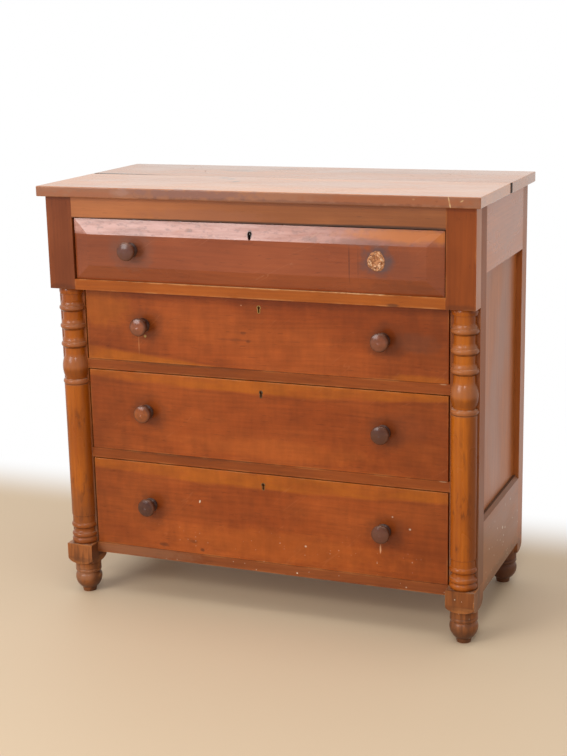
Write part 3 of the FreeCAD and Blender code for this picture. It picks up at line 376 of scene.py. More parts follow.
# The back is four wide poplar boards, laid level in the rebates of the rear posts.
# They are left bare, rough from the plane, and held at each end with cut nails of iron.
POPLAR = ((0.285, 0.150, 0.067), (0.49, 0.290, 0.141))
BACK_BOARDS = 4
back_low, back_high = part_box("back_boards")
board_pitch = (back_high.z - back_low.z) / BACK_BOARDS


def sawn_apart(tree, spot, look):
    """A mark: each board of the back has its own shade and a dirty joint."""
    height = calc(tree, "DIVIDE", calc(tree, "SUBTRACT", axes(tree, spot)["Z"], back_low.z), board_pitch)
    lot = place(tree, "ShaderNodeTexWhiteNoise", {"W": calc(tree, "FLOOR", height)}, noise_dimensions="1D")
    look["color"] = shade(tree, look["color"], ramp(tree, lot.outputs["Value"], 0.0, 1.0, 0.78, 1.12))
    from_joint = calc(tree, "PINGPONG", height, 0.5)
    look["color"] = shade(tree, look["color"], ramp(tree, from_joint, 0.0, 0.05, 0.55, 1.0))


def leave_bare(name, along, heart, gloss, marks=()):
    """Gives a CAD node bare poplar."""
    dress(name, along, heart, POPLAR, gloss=gloss, shellac=0.0, marks=marks)


leave_bare("back_boards", "x", (1.0, 0.85, 0.62), 0.62, [
    sawn_apart,
    smudge((0.3, BACK_FACE, 0.35), (0.3, 0.2, 0.12), (0.15, 0.085, 0.04), 0.5),
    smudge((-0.2, BACK_FACE, 0.85), (0.25, 0.2, 0.08), (0.17, 0.10, 0.05), 0.4),
])
leave_bare("back_rails", "x", (2.0, 0.20, 0.5), 0.62)


def set_up(name, data):
    """Puts an object into the scene."""
    made = bpy.data.objects.new(name, data)
    bpy.context.scene.collection.objects.link(made)
    return made


def piece(name, shape, body, material, smooth=False):
    """Makes a finished shape into a piece of the chest that moves with a body."""
    mesh = bpy.data.meshes.new(name)
    for face in shape.faces:
        face.smooth = smooth
    shape.to_mesh(mesh)
    shape.free()
    made = set_up(name, mesh)
    mesh.materials.append(material)
    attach(made, body)


RUST = (0.115, 0.042, 0.017)


def old_iron(name, bright, rust, gloss=0.45):
    """Wrought iron, dark and pitted, with rust where damp has reached it."""
    material, tree, shader, spot = new_material(name)
    mottle = cloud(tree, spot, (90.0, 90.0, 90.0), detail=5.0)
    pits = cloud(tree, spot, (700.0, 700.0, 700.0))
    damp = calc(tree, "ADD", mottle, times(tree, pits, 0.3))
    rusty = ramp(tree, damp, 0.75 - rust, 0.95 - rust)
    color = tint(tree, rusty, bright, RUST)
    fill(tree, shader, {
        "Base Color": shade(tree, color, ramp(tree, pits, 0.3, 0.7, 0.8, 1.15)),
        "Roughness": ramp(tree, rusty, 0.0, 1.0, gloss, 0.8),
        "Metallic": ramp(tree, rusty, 0.0, 1.0, 0.9, 0.1),
        "Normal": relief(tree, pits, 0.25, 0.0003),
    })
    return material


def eased_block(shape, at, size, ease):
    """A square block with eased edges, centred on a point."""
    made = bmesh.ops.create_cube(shape, size=1.0, matrix=Matrix.LocRotScale(Vector(at), None, Vector(size)))
    edges = dict.fromkeys(edge for corner in made["verts"] for edge in corner.link_edges)
    bmesh.ops.bevel(shape, geom=list(edges), offset=ease, segments=2, profile=0.5, affect="EDGES",
                    material=-1)


nail_iron = old_iron("nail iron", (0.10, 0.095, 0.09), 0.25)
NAIL_HEAD = (0.0065, 0.0016, 0.0045)
NAIL_EASE = 0.0004
NAIL_LINE = 0.4965
NAIL_SHARES = (0.2, 0.5, 0.8)
NAIL_STRAY = 0.002
RAIL_NAIL_HEIGHTS = (1.05, 0.13)
RAIL_NAILS = (-0.3, -0.1, 0.1, 0.3)
RAIL_NAIL_STRAY = 0.01
nails = bmesh.new()
for course in range(BACK_BOARDS):
    for share in NAIL_SHARES:
        for side in (-1, 1):
            across = side * NAIL_LINE + NAIL_STRAY * noise.noise((side * 9.1, course * 3.3, share * 7.7))
            height = back_low.z + (course + share) * board_pitch
            eased_block(nails, (across, back_high.y, height), NAIL_HEAD, NAIL_EASE)
for height in RAIL_NAIL_HEIGHTS:
    for across in RAIL_NAILS:
        across += RAIL_NAIL_STRAY * noise.noise((across * 9, height, 2.0))
        eased_block(nails, (across, back_high.y, height), NAIL_HEAD, NAIL_EASE)
piece("back_board_nails", nails, "case", nail_iron)

# The rails across the front are cherry bars, tenoned between the posts with their grain level.
# The soffit rail under the top drawer is a paler, yellower stick with a rubbed upper edge.


def painted_light_falloff(left, right):
    """A mark: painted light, a brightness that changes slowly along the front from the left to the right.
    """
    def lay(tree, spot, look):
        slow = ramp(tree, axes(tree, spot)["X"], -0.45, 0.45, left, right)
        look["color"] = shade(tree, look["color"], slow)
    return lay


def smudges(face, deep, rows):
    """Smudges on one upright face. Each row has x, z, half width, half height, colour and strength,
    and may go on with how ragged and how far turned the smudge is."""
    return [smudge((x, face, z), (wide, deep, high), *look) for x, z, wide, high, *look in rows]


HALF_OPENING = 0.486


def rubbed_rail(low, high, amount):
    """A mark: a rail is rubbed along the edges that show between the posts."""
    return rubbed((-HALF_OPENING, low.y, low.z), (HALF_OPENING, high.y, high.z), amount)


FRIEZE_FACE = -0.245
FRIEZE = ((0.275, 0.079, 0.016), (0.40, 0.128, 0.032))
GAP_SHADOW = (0.03, 0.009, 0.003)
dress("frieze_rail", "x", (4.0, -0.17, 1.02), FRIEZE, shellac=0.3, marks=[
    # Painted light: the frieze is brighter at the left and darker at the right.
    painted_light_falloff(1.06, 0.86),
    *smudges(FRIEZE_FACE, 0.05, (
        (-0.12, 1.035, 0.2, 0.02, (0.30, 0.10, 0.045), 0.4),
        # Painted shadow: two dark lines along the lower edge of the frieze stand for the shaded gap above
        # the top drawer.
        (0.0, 1.021, 0.6, 0.005, GAP_SHADOW, 0.8, 0.05),
        (0.35, 1.021, 0.25, 0.0075, GAP_SHADOW, 0.8, 0.05),
    )),
])
SOFFIT = ((0.265, 0.060, 0.0045), (0.385, 0.094, 0.0075))
SOFFIT_EDGE = 0.8645
dress("soffit_rail", "x", (5.0, -0.17, 0.80), SOFFIT, marks=[
    # Painted light: the soffit rail is brighter at the left and darker at the right.
    painted_light_falloff(1.1, 0.92),
    rubbed_rail(*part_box("soffit_rail"), 0.8),
    *smudges(FRIEZE_FACE, 0.02, (
        (0.357, 0.840, 0.02, 0.005, (0.10, 0.03, 0.01), 0.75),
        (0.0, SOFFIT_EDGE, 0.45, 0.0028, (0.62, 0.34, 0.15), 0.5, 0.4),
        (0.27, SOFFIT_EDGE, 0.08, 0.0028, (0.68, 0.42, 0.22), 0.6, 0.5),
    )),
])
BLADE = ((0.185, 0.038, 0.0048), (0.295, 0.066, 0.0095))
for shift, name in ((6.0, "upper_drawer_blade"), (7.0, "lower_drawer_blade")):
    low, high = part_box(name)
    dress(name, "x", (shift, -0.16, (low.z + high.z) / 2 - 0.05), BLADE, marks=[
        rubbed_rail(low, high, 0.35),
        *smudges(low.y, 0.02, (
            (0.47, high.z - 0.0005, 0.012, 0.0024, (0.50, 0.31, 0.18), 0.55),
            (-0.2, high.z, 0.26, 0.006, (0.09, 0.025, 0.008), 0.5),
        )),
    ])
BOTTOM_RAIL = ((0.18, 0.042, 0.009), (0.28, 0.072, 0.016))
low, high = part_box("bottom_front_rail")
dress("bottom_front_rail", "x", (8.0, -0.15, 0.06), BOTTOM_RAIL, gloss=0.4, marks=[
    rubbed_rail(low, high, 0.4),
    spattered((0.05, low.y, 0.13), (0.5, 0.1, 0.05)),
    smudge((-0.36, low.y, 0.13), (0.2, 0.05, 0.02), (0.30, 0.15, 0.08), 0.35),
])

# Runners, guides, kickers and stops are plain poplar strips inside the case.
# They are glued and nailed to the rails and posts, and the drawers have polished the runners.
leave_bare("drawer_runners", "y", (0.40, 2.0, 0.70), 0.48)
leave_bare("drawer_guides", "y", (0.45, 5.0, 0.60), 0.6)
leave_bare("drawer_stops", "x", (9.0, -0.10, 0.60), 0.6)

# Each front foot is a square cherry block turned below to a ball on a small pad.
# It is tenoned up into the post. Damp has streaked it, painted shade darkens its inner side, and the floor
# has scuffed its lower end.
FOOT = {"left": ((0.195, 0.057, 0.014), (0.37, 0.118, 0.029)),
        "right": ((0.165, 0.046, 0.011), (0.33, 0.105, 0.026))}
FOOT_FRONT = -0.237
FOOT_MIDDLE = -0.194
FOOT_BACK = -0.151
SCUFFED = {"left": 0.4, "right": 0.65}
BALL_WEAR_AND_HIGHLIGHT = {"left": 0.45, "right": 0.12}
DAMP_AND_SHADE = (0.085, 0.027, 0.010)


def streaked(tree, spot, look):
    """A mark: damp has drawn dark streaks up the grain of a foot."""
    streaks = ramp(tree, cloud(tree, spot, (80.0, 80.0, 7.0), detail=4.0), 0.47, 0.66, 0.0, 0.7)
    stain(tree, look, streaks, DAMP_AND_SHADE)


for side, word in SIDES:
    axis = side * POST_AXIS
    marks = [
        streaked,
        # Painted shade on the side of the foot that faces the middle of the chest.
        facing("X", -side, DAMP_AND_SHADE, 0.75),
        # Dust with a painted highlight on upper faces and dirt with painted shade under the ball.
        dust_dirt_and_shading(dust=0.35, dirt=0.7),
        rubbed((axis - POST_HALF, FOOT_FRONT, 0.1), (axis + POST_HALF, FOOT_BACK, 0.143), 0.6),
        smudge((axis, FOOT_MIDDLE, 0.0), (0.2, 0.2, 0.05), (0.09, 0.034, 0.016), SCUFFED[word]),
        smudge((axis, FOOT_MIDDLE, 0.100), (0.2, 0.2, 0.008), (0.12, 0.04, 0.014), 0.4),
        # A paler patch on the front of the ball, partly wear and partly a painted highlight.
        smudge((axis, -0.232, 0.055), (0.05, 0.03, 0.024), (0.36, 0.16, 0.08), BALL_WEAR_AND_HIGHLIGHT[word], ragged=0.4),
        spattered((axis, FOOT_FRONT, 0.10), (0.06, 0.06, 0.07), 0.6),
    ]
    dress(f"front_foot_{word}", "z", (axis - 0.05, -0.16, 14.0 + side), FOOT[word], gloss=0.34, marks=marks)

# The half columns are turned in one length from amber cherry, split, and glued to the posts.
# Old finish has pooled dark in the figure of the shaft, a grey haze of dust with a painted sheen lies along
# the rings and the vase, and painted shade darkens the flanks and the lower belly of the vase.
COLUMN = {"left": ((0.265, 0.055, 0.0030), (0.425, 0.108, 0.0048)),
          "right": ((0.31, 0.067, 0.0030), (0.49, 0.132, 0.0048))}
COLUMN_RADIUS = 0.0345
LOWER_FACE = -0.201
POOLED = (0.085, 0.020, 0.004)
GRIME_AND_SHADE = (0.175, 0.040, 0.0045)
HAZE_AND_SHEEN = (0.30, 0.125, 0.062)
BELL_RINGS = (0.787, 0.739, 0.691)
VASE_BELLY = 0.639
VASE_FOOT = 0.610
COLLAR = 0.5875
HAZE_AND_SHEEN_BANDS = [(ring, 0.015) for ring in BELL_RINGS] + [(VASE_BELLY, 0.024), (COLLAR, 0.012)]


def pooled(height, reach, amount):
    """A mark: dark flecks of finish in the figure of a turning, near one height."""
    def lay(tree, spot, look):
        flecks = ramp(tree, cloud(tree, spot, (85.0, 85.0, 26.0), detail=4.0), 0.5, 0.66)
        near = ramp(tree, calc(tree, "ABSOLUTE", calc(tree, "SUBTRACT", axes(tree, spot)["Z"], height)),
                    0.3 * reach, reach, amount, 0.0)
        stain(tree, look, times(tree, flecks, near), POOLED)
    return lay


def grime_and_shade_edges(axis, radius, outer, inner):
    """A mark: hands and cloths reach the middle of a half column, and its two edges are darker, partly with
    grime and partly with painted shade where the flanks turn from the light.
    """
    def lay(tree, spot, look):
        outward = calc(tree, "DIVIDE", calc(tree, "SUBTRACT", axes(tree, spot)["X"], axis), radius)
        uneven = ramp(tree, cloud(tree, spot, (30.0, 30.0, 8.0)), 0.3, 0.7, -0.12, 0.12)
        outward = calc(tree, "ADD", outward, uneven)
        grime = calc(tree, "ADD", ramp(tree, outward, 0.3, 0.75, 0.0, outer),
                     ramp(tree, outward, -0.6, -0.95, 0.0, inner))
        stain(tree, look, grime, GRIME_AND_SHADE)
    return lay


COLUMN_GRIME_AND_SHADE = {"left": (0.4, 0.4), "right": (0.75, 0.55)}
DULL_END = {"left": (0.17, 0.6), "right": (0.06, 0.1)}
COLUMN_POOLS = {
    "left": (pooled(0.292, 0.08, 0.5), pooled(0.488, 0.04, 0.5), pooled(0.222, 0.03, 0.6)),
    "right": (pooled(0.357, 0.05, 0.65), pooled(0.238, 0.03, 0.65), pooled(0.50, 0.06, 0.3)),
}
for side, word in SIDES:
    axis = side * POST_AXIS
    dull_reach, dulling = DULL_END[word]
    marks = [
        *COLUMN_POOLS[word],
        # Grime and painted shade darken the two flanks of the column.
        grime_and_shade_edges(axis, side * COLUMN_RADIUS, *COLUMN_GRIME_AND_SHADE[word]),
        *smudges(LOWER_FACE, 0.1, (
            (axis, 0.165, 0.1, dull_reach, (0.21, 0.06, 0.016), dulling),
            # A haze of dust with a painted sheen on the rings, the belly of the vase and the collar.
            *((axis, height, 0.1, reach, HAZE_AND_SHEEN, 0.45, 0.15) for height, reach in HAZE_AND_SHEEN_BANDS),
            # Painted shade on the lower belly of the vase.
            (axis, VASE_FOOT, 0.1, 0.016, (0.14, 0.032, 0.004), 0.5, 0.2),
        )),
        # Dust with a painted highlight on upper faces and dirt with painted shade under the rings.
        dust_dirt_and_shading(dust=0.5, dirt=0.75),
    ]
    dress(f"half_column_{word}", "z", (axis + 0.03, -0.17, 17.0 + side), COLUMN[word], gloss=0.3,
          shellac=0.15, marks=marks)

# The frieze blocks are cherry with upright grain, glued to the heads of the front posts.
# They stand out as far as the top drawer, and their lower corners are bruised.
BLOCKS = {"left": ((0.155, 0.034, 0.0075), (0.225, 0.052, 0.0115)),
          "right": ((0.185, 0.036, 0.003), (0.265, 0.056, 0.005))}
BRUISE = (0.08, 0.02, 0.005)
for side, word in SIDES:
    low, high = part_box(f"frieze_block_{word}")
    marks = [rubbed((low.x, low.y, low.z), (high.x, high.y + 0.02, high.z), 0.4),
             smudge((side * POST_AXIS, FRIEZE_FACE, 0.84), (0.05, 0.03, 0.012), BRUISE, 0.45),
             facing("X", side, SIDE_CHERRY[1], 0.8)]
    dress(f"frieze_block_{word}", "z", (side * 0.50, -0.19, 20.0 + side), BLOCKS[word], marks=marks)

# The top is two wide cherry boards fastened down on the case, with a joint that has shrunk open.
# Its finish is rubbed and scratched from use, and the front edge is split and chipped at the right.


def build_scratches():
    """Thin broken lines along x, where something has been dragged."""
    tree, given = new_group("fine scratches", {"Vector": "Vector"}, {"Mask": "Float"})
    drawn = cloud(tree, given["Vector"], (4.0, 55.0, 55.0), detail=1.0)
    line = ramp(tree, calc(tree, "ABSOLUTE", calc(tree, "SUBTRACT", drawn, 0.5)), 0.003, 0.009, 1.0, 0.0)
    broken = ramp(tree, cloud(tree, given["Vector"], (3.5, 12.0, 12.0)), 0.55, 0.64)
    place(tree, "NodeGroupOutput", {"Mask": times(tree, line, broken)})
    return tree


fine_scratches = build_scratches()


def scratched(turn, color, amount):
    """A mark: fine scratches, turned in the board's plane."""
    def lay(tree, spot, look):
        turned = place(tree, "ShaderNodeMapping", {"Vector": spot, "Rotation": turn}).outputs[0]
        mask = times(tree, shared(tree, fine_scratches, Vector=turned)["Mask"], amount)
        stain(tree, look, mask, color)
        roughen(tree, look, mask, 0.3)
        look["height"] = calc(tree, "SUBTRACT", look["height"], mask)
    return lay


FRONT_BOARD = ((0.41, 0.135, 0.042), (0.62, 0.235, 0.084))
REAR_BOARD = ((0.30, 0.088, 0.023), (0.47, 0.160, 0.049))
TOP_FACE = 1.1
DENTS = ((-0.170, -0.004), (-0.1405, -0.0264), (-0.106, -0.079))
DENT_SHADE = (0.09, 0.03, 0.012)
PALE_SCRATCH = (0.50, 0.26, 0.14)
DARK_SCRATCH = (0.12, 0.03, 0.01)
BARE_WOOD = (0.70, 0.47, 0.22)
EDGE_GRIME = (0.20, 0.074, 0.036)
JOINT_SHADOW = (0.012, 0.006, 0.004)
TOP_POLISH = {"gloss": 0.24, "shellac": 0.45}
top_low, top_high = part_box("top_front_board")
nose_y, joint_y = top_low.y, top_high.y
dress("top_front_board", "x", (23.0, -0.10, 1.02), FRONT_BOARD, **TOP_POLISH, marks=[
    facing("Y", -1, EDGE_GRIME, 0.75, rougher=0.15),
    # Painted shadow on the face of the front board inside the open joint.
    facing("Y", 1, JOINT_SHADOW, 1.0),
    scratched((0.0, 0.0, 0.35), PALE_SCRATCH, 0.5),
    scratched((0.0, 0.0, -0.9), DARK_SCRATCH, 0.5),
    # Painted shade in the dents on the top.
    *(smudge((x, y, TOP_FACE), (0.012, 0.022, 0.03), DENT_SHADE, 0.75, ragged=0.4) for x, y in DENTS),
    smudge((0.15, -0.12, TOP_FACE), (0.2, 0.05, 0.03), (0.47, 0.20, 0.10), 0.35),
    *smudges(nose_y, 0.01, (
        (0.50, 1.087, 0.0022, 0.02, BARE_WOOD, 0.95, 0.3, -0.21),
        (0.529, 1.0905, 0.0055, 0.0020, BARE_WOOD, 0.8, 0.4, -0.5),
        (0.416, 1.0915, 0.0045, 0.0026, BARE_WOOD, 0.75, 0.4),
        (0.47, 1.0885, 0.004, 0.0026, (0.05, 0.015, 0.006), 0.7, 0.4),
    )),
    *smudges(nose_y, 0.012, (
        (-0.15, 1.089, 0.2, 0.012, (0.20, 0.082, 0.062), 0.7, 0.7),
        (-0.44, 1.082, 0.15, 0.010, (0.29, 0.085, 0.026), 0.75, 0.7),
        (-0.335, 1.088, 0.03, 0.012, (0.34, 0.17, 0.12), 0.5, 0.4),
        (0.36, 1.088, 0.24, 0.014, (0.29, 0.075, 0.014), 0.75, 0.4),
        (0.1, 1.076, 0.5, 0.006, (0.12, 0.03, 0.008), 0.5, 0.5),
    )),
    # Painted shadow of the open joint along the top.
    smudge((-0.44, joint_y, TOP_FACE), (0.16, 0.006, 0.03), JOINT_SHADOW, 0.8, ragged=0.1),
    rubbed(top_low, top_high, 0.15),
])
top_low, top_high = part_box("top_rear_board")
dress("top_rear_board", "x", (26.0, 0.20, 1.03), REAR_BOARD, **TOP_POLISH, marks=[
    # Painted shadow of the open joint on the face of the rear board and along its top.
    facing("Y", -1, JOINT_SHADOW, 1.0),
    smudge((-0.5, joint_y + 0.012, TOP_FACE), (0.13, 0.006, 0.03), JOINT_SHADOW, 0.7, ragged=0.1),
    scratched((0.0, 0.0, 0.2), PALE_SCRATCH, 0.5),
    scratched((0.0, 0.0, 1.1), DARK_SCRATCH, 0.5),
    smudge((-0.20, 0.168, TOP_FACE), (0.06, 0.024, 0.03), (0.13, 0.04, 0.016), 0.7, ragged=0.5),
    smudge((-0.10, 0.222, TOP_FACE), (0.05, 0.022, 0.03), (0.14, 0.04, 0.018), 0.6, ragged=0.5),
    smudge((0.25, 0.20, TOP_FACE), (0.22, 0.03, 0.03), (0.16, 0.05, 0.02), 0.3, ragged=0.5),
    rubbed(top_low, top_high, 0.15),
])
SLIP_SIZE = (0.030, 0.019, 0.0242)
SLIP_HEIGHT = 1.0877
SLIP_PROUD = 0.0004
SLIP_EASE = 0.0003
slip_wood = wood("top joint slip", "z", (0.55, 0.02, 75.0), ((0.020, 0.008, 0.004), (0.05, 0.02, 0.009)),
                 gloss=0.7, shellac=0.0)
slip = bmesh.new()
slip_x = top_high.x - SLIP_SIZE[0] / 2 + SLIP_PROUD
eased_block(slip, (slip_x, joint_y - 0.002, SLIP_HEIGHT), SLIP_SIZE, SLIP_EASE)
piece("top_joint_slip", slip, "case", slip_wood)

# Each drawer is a box of thin poplar boards, dovetailed at the corners, with a bottom in grooves.
# The wood is bare and grey brown with handling, and the bottom is nailed up into the drawer back.
DRAWERS = ("top", "second", "third", "bottom")
BOTTOM_NAIL_HEAD = (0.0055, 0.004, 0.0014)
BOTTOM_NAILS = (-0.36, -0.12, 0.12, 0.36)
NAIL_INSET = 0.006
for shift, name in enumerate(DRAWERS):
    low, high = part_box(f"{name}_drawer_sides")
    middle = (low.z + high.z) / 2
    handled_rim = smudge((0.0, -0.1, high.z), (1.0, 0.3, 0.02), (0.16, 0.09, 0.045), 0.5)
    leave_bare(f"{name}_drawer_sides", "y", (0.40, 30.0 + shift, middle), 0.55, [handled_rim])
    leave_bare(f"{name}_drawer_back", "x", (34.0 + shift, 0.16, middle), 0.58)
    leave_bare(f"{name}_drawer_bottom", "x", (38.0 + shift, 0.0, low.z - 0.12), 0.58, [
        smudge((0.2, 0.1, low.z), (0.14, 0.1, 0.1), (0.17, 0.09, 0.04), 0.5, ragged=0.5),
        smudge((-0.3, -0.05, low.z), (0.08, 0.09, 0.1), (0.15, 0.08, 0.04), 0.4, ragged=0.5),
    ])
    under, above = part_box(f"{name}_drawer_bottom")
    bottom_nails = bmesh.new()
    for across in BOTTOM_NAILS:
        eased_block(bottom_nails, (across, above.y - NAIL_INSET, under.z), BOTTOM_NAIL_HEAD, NAIL_EASE)
    piece(f"{name}_drawer_bottom_nails", bottom_nails, f"{name}_drawer", nail_iron)

# The top drawer front is a raised field with broad bevels, worked from one cherry board.
# The upper bevel has dulled to a lilac grey under a painted sheen that fades to the right, and a lost knob
# has left a scar and a dark ring.
TOP_FRONT = ((0.20, 0.040, 0.0085), (0.285, 0.064, 0.015))
KNOB_X = 0.320
TOP_KNOB_Z = 0.945
FIELD_TOP = 0.9805
HAND_DIRT = (0.11, 0.026, 0.008)
BARE_CHERRY = (0.33, 0.155, 0.070)
FADED_AND_SHEEN = (0.60, 0.33, 0.28)
BEVEL_SPOTS = (0.13, 0.05, 0.035)
field_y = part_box("top_drawer_front")[0].y


def dulled_and_sheened_bevel(tree, spot, look):
    """A mark: the upper bevel has lost its colour in streaks and shines, under a painted sheen that fades
    towards the right.
    """
    streaks = cloud(tree, spot, (9.0, 30.0, 90.0), detail=4.0)
    on_bevel = ramp(tree, axes(tree, spot)["Z"], FIELD_TOP - 0.001, FIELD_TOP + 0.001)
    sheen_falloff = ramp(tree, axes(tree, spot)["X"], -0.1, 0.42, 1.0, 0.25)
    streaky = times(tree, sheen_falloff, ramp(tree, streaks, 0.3, 0.7, 0.3, 0.75))
    stain(tree, look, times(tree, on_bevel, streaky), FADED_AND_SHEEN)
    spots = ramp(tree, cloud(tree, spot, (60.0, 80.0, 120.0), detail=5.0), 0.5, 0.7, 0.0, 0.45)
    stain(tree, look, times(tree, on_bevel, spots), BEVEL_SPOTS)
    roughen(tree, look, on_bevel, -0.05)


def shaded_ends(tree, spot, look):
    """A mark: painted light and shade, with the middle of a front a little brighter and its two ends
    darker.
    """
    across = calc(tree, "ABSOLUTE", axes(tree, spot)["X"])
    look["color"] = shade(tree, look["color"], ramp(tree, across, 0.22, 0.46, 1.08, 0.88))


inner_face = facing("Y", 1, BARE_CHERRY, 0.85, rougher=0.25)
dress("top_drawer_front", "x", (44.0, -0.20, 0.86), TOP_FRONT, gloss=0.29, shellac=0.25, marks=[
    # Painted light in the middle of the front and painted shade at its two ends.
    shaded_ends,
    # Painted sheen over the dulled finish of the upper bevel.
    dulled_and_sheened_bevel,
    *smudges(field_y, 0.05, (
        (-KNOB_X, TOP_KNOB_Z, 0.075, 0.06, (0.16, 0.06, 0.035), 0.55),
        (0.35, 0.936, 0.10, 0.05, (0.17, 0.04, 0.014), 0.5),
    )),
    *smudges(field_y, 0.02, (
        (0.2535, 0.936, 0.0016, 0.052, (0.07, 0.016, 0.006), 0.75, 0.1),
        (0.2755, 0.935, 0.0014, 0.048, (0.10, 0.025, 0.009), 0.5, 0.1),
    )),
    smudge((0.324, field_y, 0.944), (0.045, 0.03, 0.042), (0.085, 0.052, 0.052), 0.8, ragged=0.3),
    smudge((0.40, -0.235, 1.003), (0.20, 0.03, 0.022), (0.50, 0.15, 0.025), 0.85),
    smudge((0.29, -0.245, 0.985), (0.09, 0.03, 0.012), (0.20, 0.075, 0.05), 0.6, ragged=0.5),
    smudge((-0.16, -0.242, 0.998), (0.012, 0.03, 0.006), (0.12, 0.05, 0.04), 0.6, ragged=0.4),
    smudge((0.16, -0.245, 0.99), (0.02, 0.03, 0.008), (0.18, 0.08, 0.06), 0.5, ragged=0.5),
    smudge((0.38, -0.245, 0.882), (0.12, 0.03, 0.015), (0.10, 0.025, 0.009), 0.2, ragged=0.5),
    # Painted shade: the keyhole and a small patch round it are painted near black.
    smudge((0.0, -0.236, 0.990), (0.012, 0.0105, 0.02), (0.006, 0.003, 0.002), 1.0, ragged=0.0),
    smudge((0.0, -0.241, 0.993), (0.0085, 0.02, 0.0135), (0.010, 0.005, 0.004), 0.95, ragged=0.03),
    scratched((0.0, 0.5, 0.0), (0.42, 0.17, 0.09), 0.35),
    inner_face,
])

# The three lower fronts are plain flush cherry boards with eased edges and a faint curl in the wood.
# Bands of paler sapwood run along their edges, and hands have darkened the wood round the knobs.
LOWER_FRONT = ((0.225, 0.041, 0.005), (0.325, 0.069, 0.0095))
KNOB_Z = {"second": 0.745, "third": 0.517, "bottom": 0.2645}
SAPWOOD = (0.375, 0.096, 0.006)
KNOT = (0.09, 0.022, 0.006)


def sapwood(level, bow, lean, side):
    """A mark: a band of amber sapwood above (1) or below (-1) a wavering line along the board."""
    def lay(tree, spot, look):
        x, y, z = axes(tree, spot)
        line = calc(tree, "SUBTRACT", z, times(tree, times(tree, x, x), bow))
        line = calc(tree, "SUBTRACT", line, times(tree, x, lean))
        waver = calc(tree, "SUBTRACT", cloud(tree, spot, (5.0, 5.0, 24.0), detail=4.0), 0.5)
        line = calc(tree, "ADD", line, times(tree, waver, 0.03))
        band = ramp(tree, line, level + 0.001 * side, level + 0.012 * side, 0.0, 0.8)
        broken = ramp(tree, cloud(tree, spot, (7.0, 7.0, 30.0), detail=4.0), 0.3, 0.6, 0.5, 1.0)
        from_rim = calc(tree, "ABSOLUTE", calc(tree, "SUBTRACT", line, level))
        look["color"] = shade(tree, look["color"], ramp(tree, from_rim, 0.0, 0.006, 0.9, 1.0))
        stain(tree, look, times(tree, band, broken), SAPWOOD)
    return lay


def curly(tree, spot, look):
    """A mark: a curl in the fibres, seen as faint ripples and clouds of light and dark."""
    ripple = cloud(tree, spot, (60.0, 20.0, 12.0))
    look["color"] = shade(tree, look["color"], ramp(tree, ripple, 0.3, 0.7, 0.94, 1.06))
    clouded = cloud(tree, spot, (16.0, 10.0, 26.0), detail=4.0)
    look["color"] = shade(tree, look["color"], ramp(tree, clouded, 0.3, 0.7, 0.9, 1.1))


lower_marks = {
    "second": [
        sapwood(0.643, 0.0, -0.098, -1),
        *smudges(LOWER_FACE, 0.05, (
            (-0.44, 0.79, 0.10, 0.06, SAPWOOD, 0.5),
            (0.42, 0.655, 0.10, 0.012, SAPWOOD, 0.6),
            (0.40, 0.742, 0.07, 0.03, (0.15, 0.045, 0.02), 0.5),
        )),
        *smudges(LOWER_FACE, 0.03, (
            (-0.044, 0.741, 0.010, 0.0045, KNOT, 0.5, 0.4),
            (-0.031, 0.720, 0.008, 0.005, KNOT, 0.5, 0.4),
            (-0.06, 0.722, 0.07, 0.004, (0.12, 0.027, 0.007), 0.4, 0.4),
            (-0.047, 0.8105, 0.002, 0.002, (0.62, 0.36, 0.2), 0.7, 0.1),
            (-0.335, 0.695, 0.0014, 0.03, (0.52, 0.22, 0.08), 0.5, 0.1),
            # A small bright spot below the left knob is a painted glint.
            (-0.316, 0.7165, 0.004, 0.004, (0.80, 0.58, 0.20), 0.9, 0.2),
        )),
    ],
    "third": [
        sapwood(0.581, 0.07, 0.0, 1),
        *smudges(LOWER_FACE, 0.05, (
            (0.05, 0.445, 0.3, 0.03, (0.40, 0.092, 0.012), 0.4),
            (0.36, 0.53, 0.1, 0.05, (0.20, 0.042, 0.010), 0.4),
        )),
    ],
    "bottom": [
        sapwood(0.332, 0.07, 0.0, 1),
        smudge((0.05, LOWER_FACE, 0.19), (0.36, 0.05, 0.05), (0.42, 0.098, 0.012), 0.45),
        *smudges(LOWER_FACE, 0.03, (
            (-0.175, 0.156, 0.008, 0.006, (0.07, 0.018, 0.005), 0.7, 0.4),
            (-0.203, 0.177, 0.013, 0.006, (0.12, 0.030, 0.008), 0.5, 0.5),
            (-0.29, 0.158, 0.02, 0.006, (0.09, 0.024, 0.008), 0.55, 0.5),
        )),
        spattered((0.1, LOWER_FACE, 0.17), (0.4, 0.1, 0.06), 0.4, size=0.7),
        *smudges(LOWER_FACE, 0.03, (
            (-0.179, 0.288, 0.0024, 0.005, DRIED_PAINT, 0.8, 0.1, 0.3),
            (0.112, 0.1996, 0.0034, 0.003, DRIED_PAINT, 0.55, 0.1),
            (0.3866, 0.2756, 0.0034, 0.003, DRIED_PAINT, 0.55, 0.1),
            (0.342, 0.303, 0.0026, 0.0026, DRIED_PAINT, 0.5, 0.1),
            (0.3105, 0.2165, 0.0026, 0.013, (0.72, 0.38, 0.21), 0.8, 0.1),
        )),
    ],
}
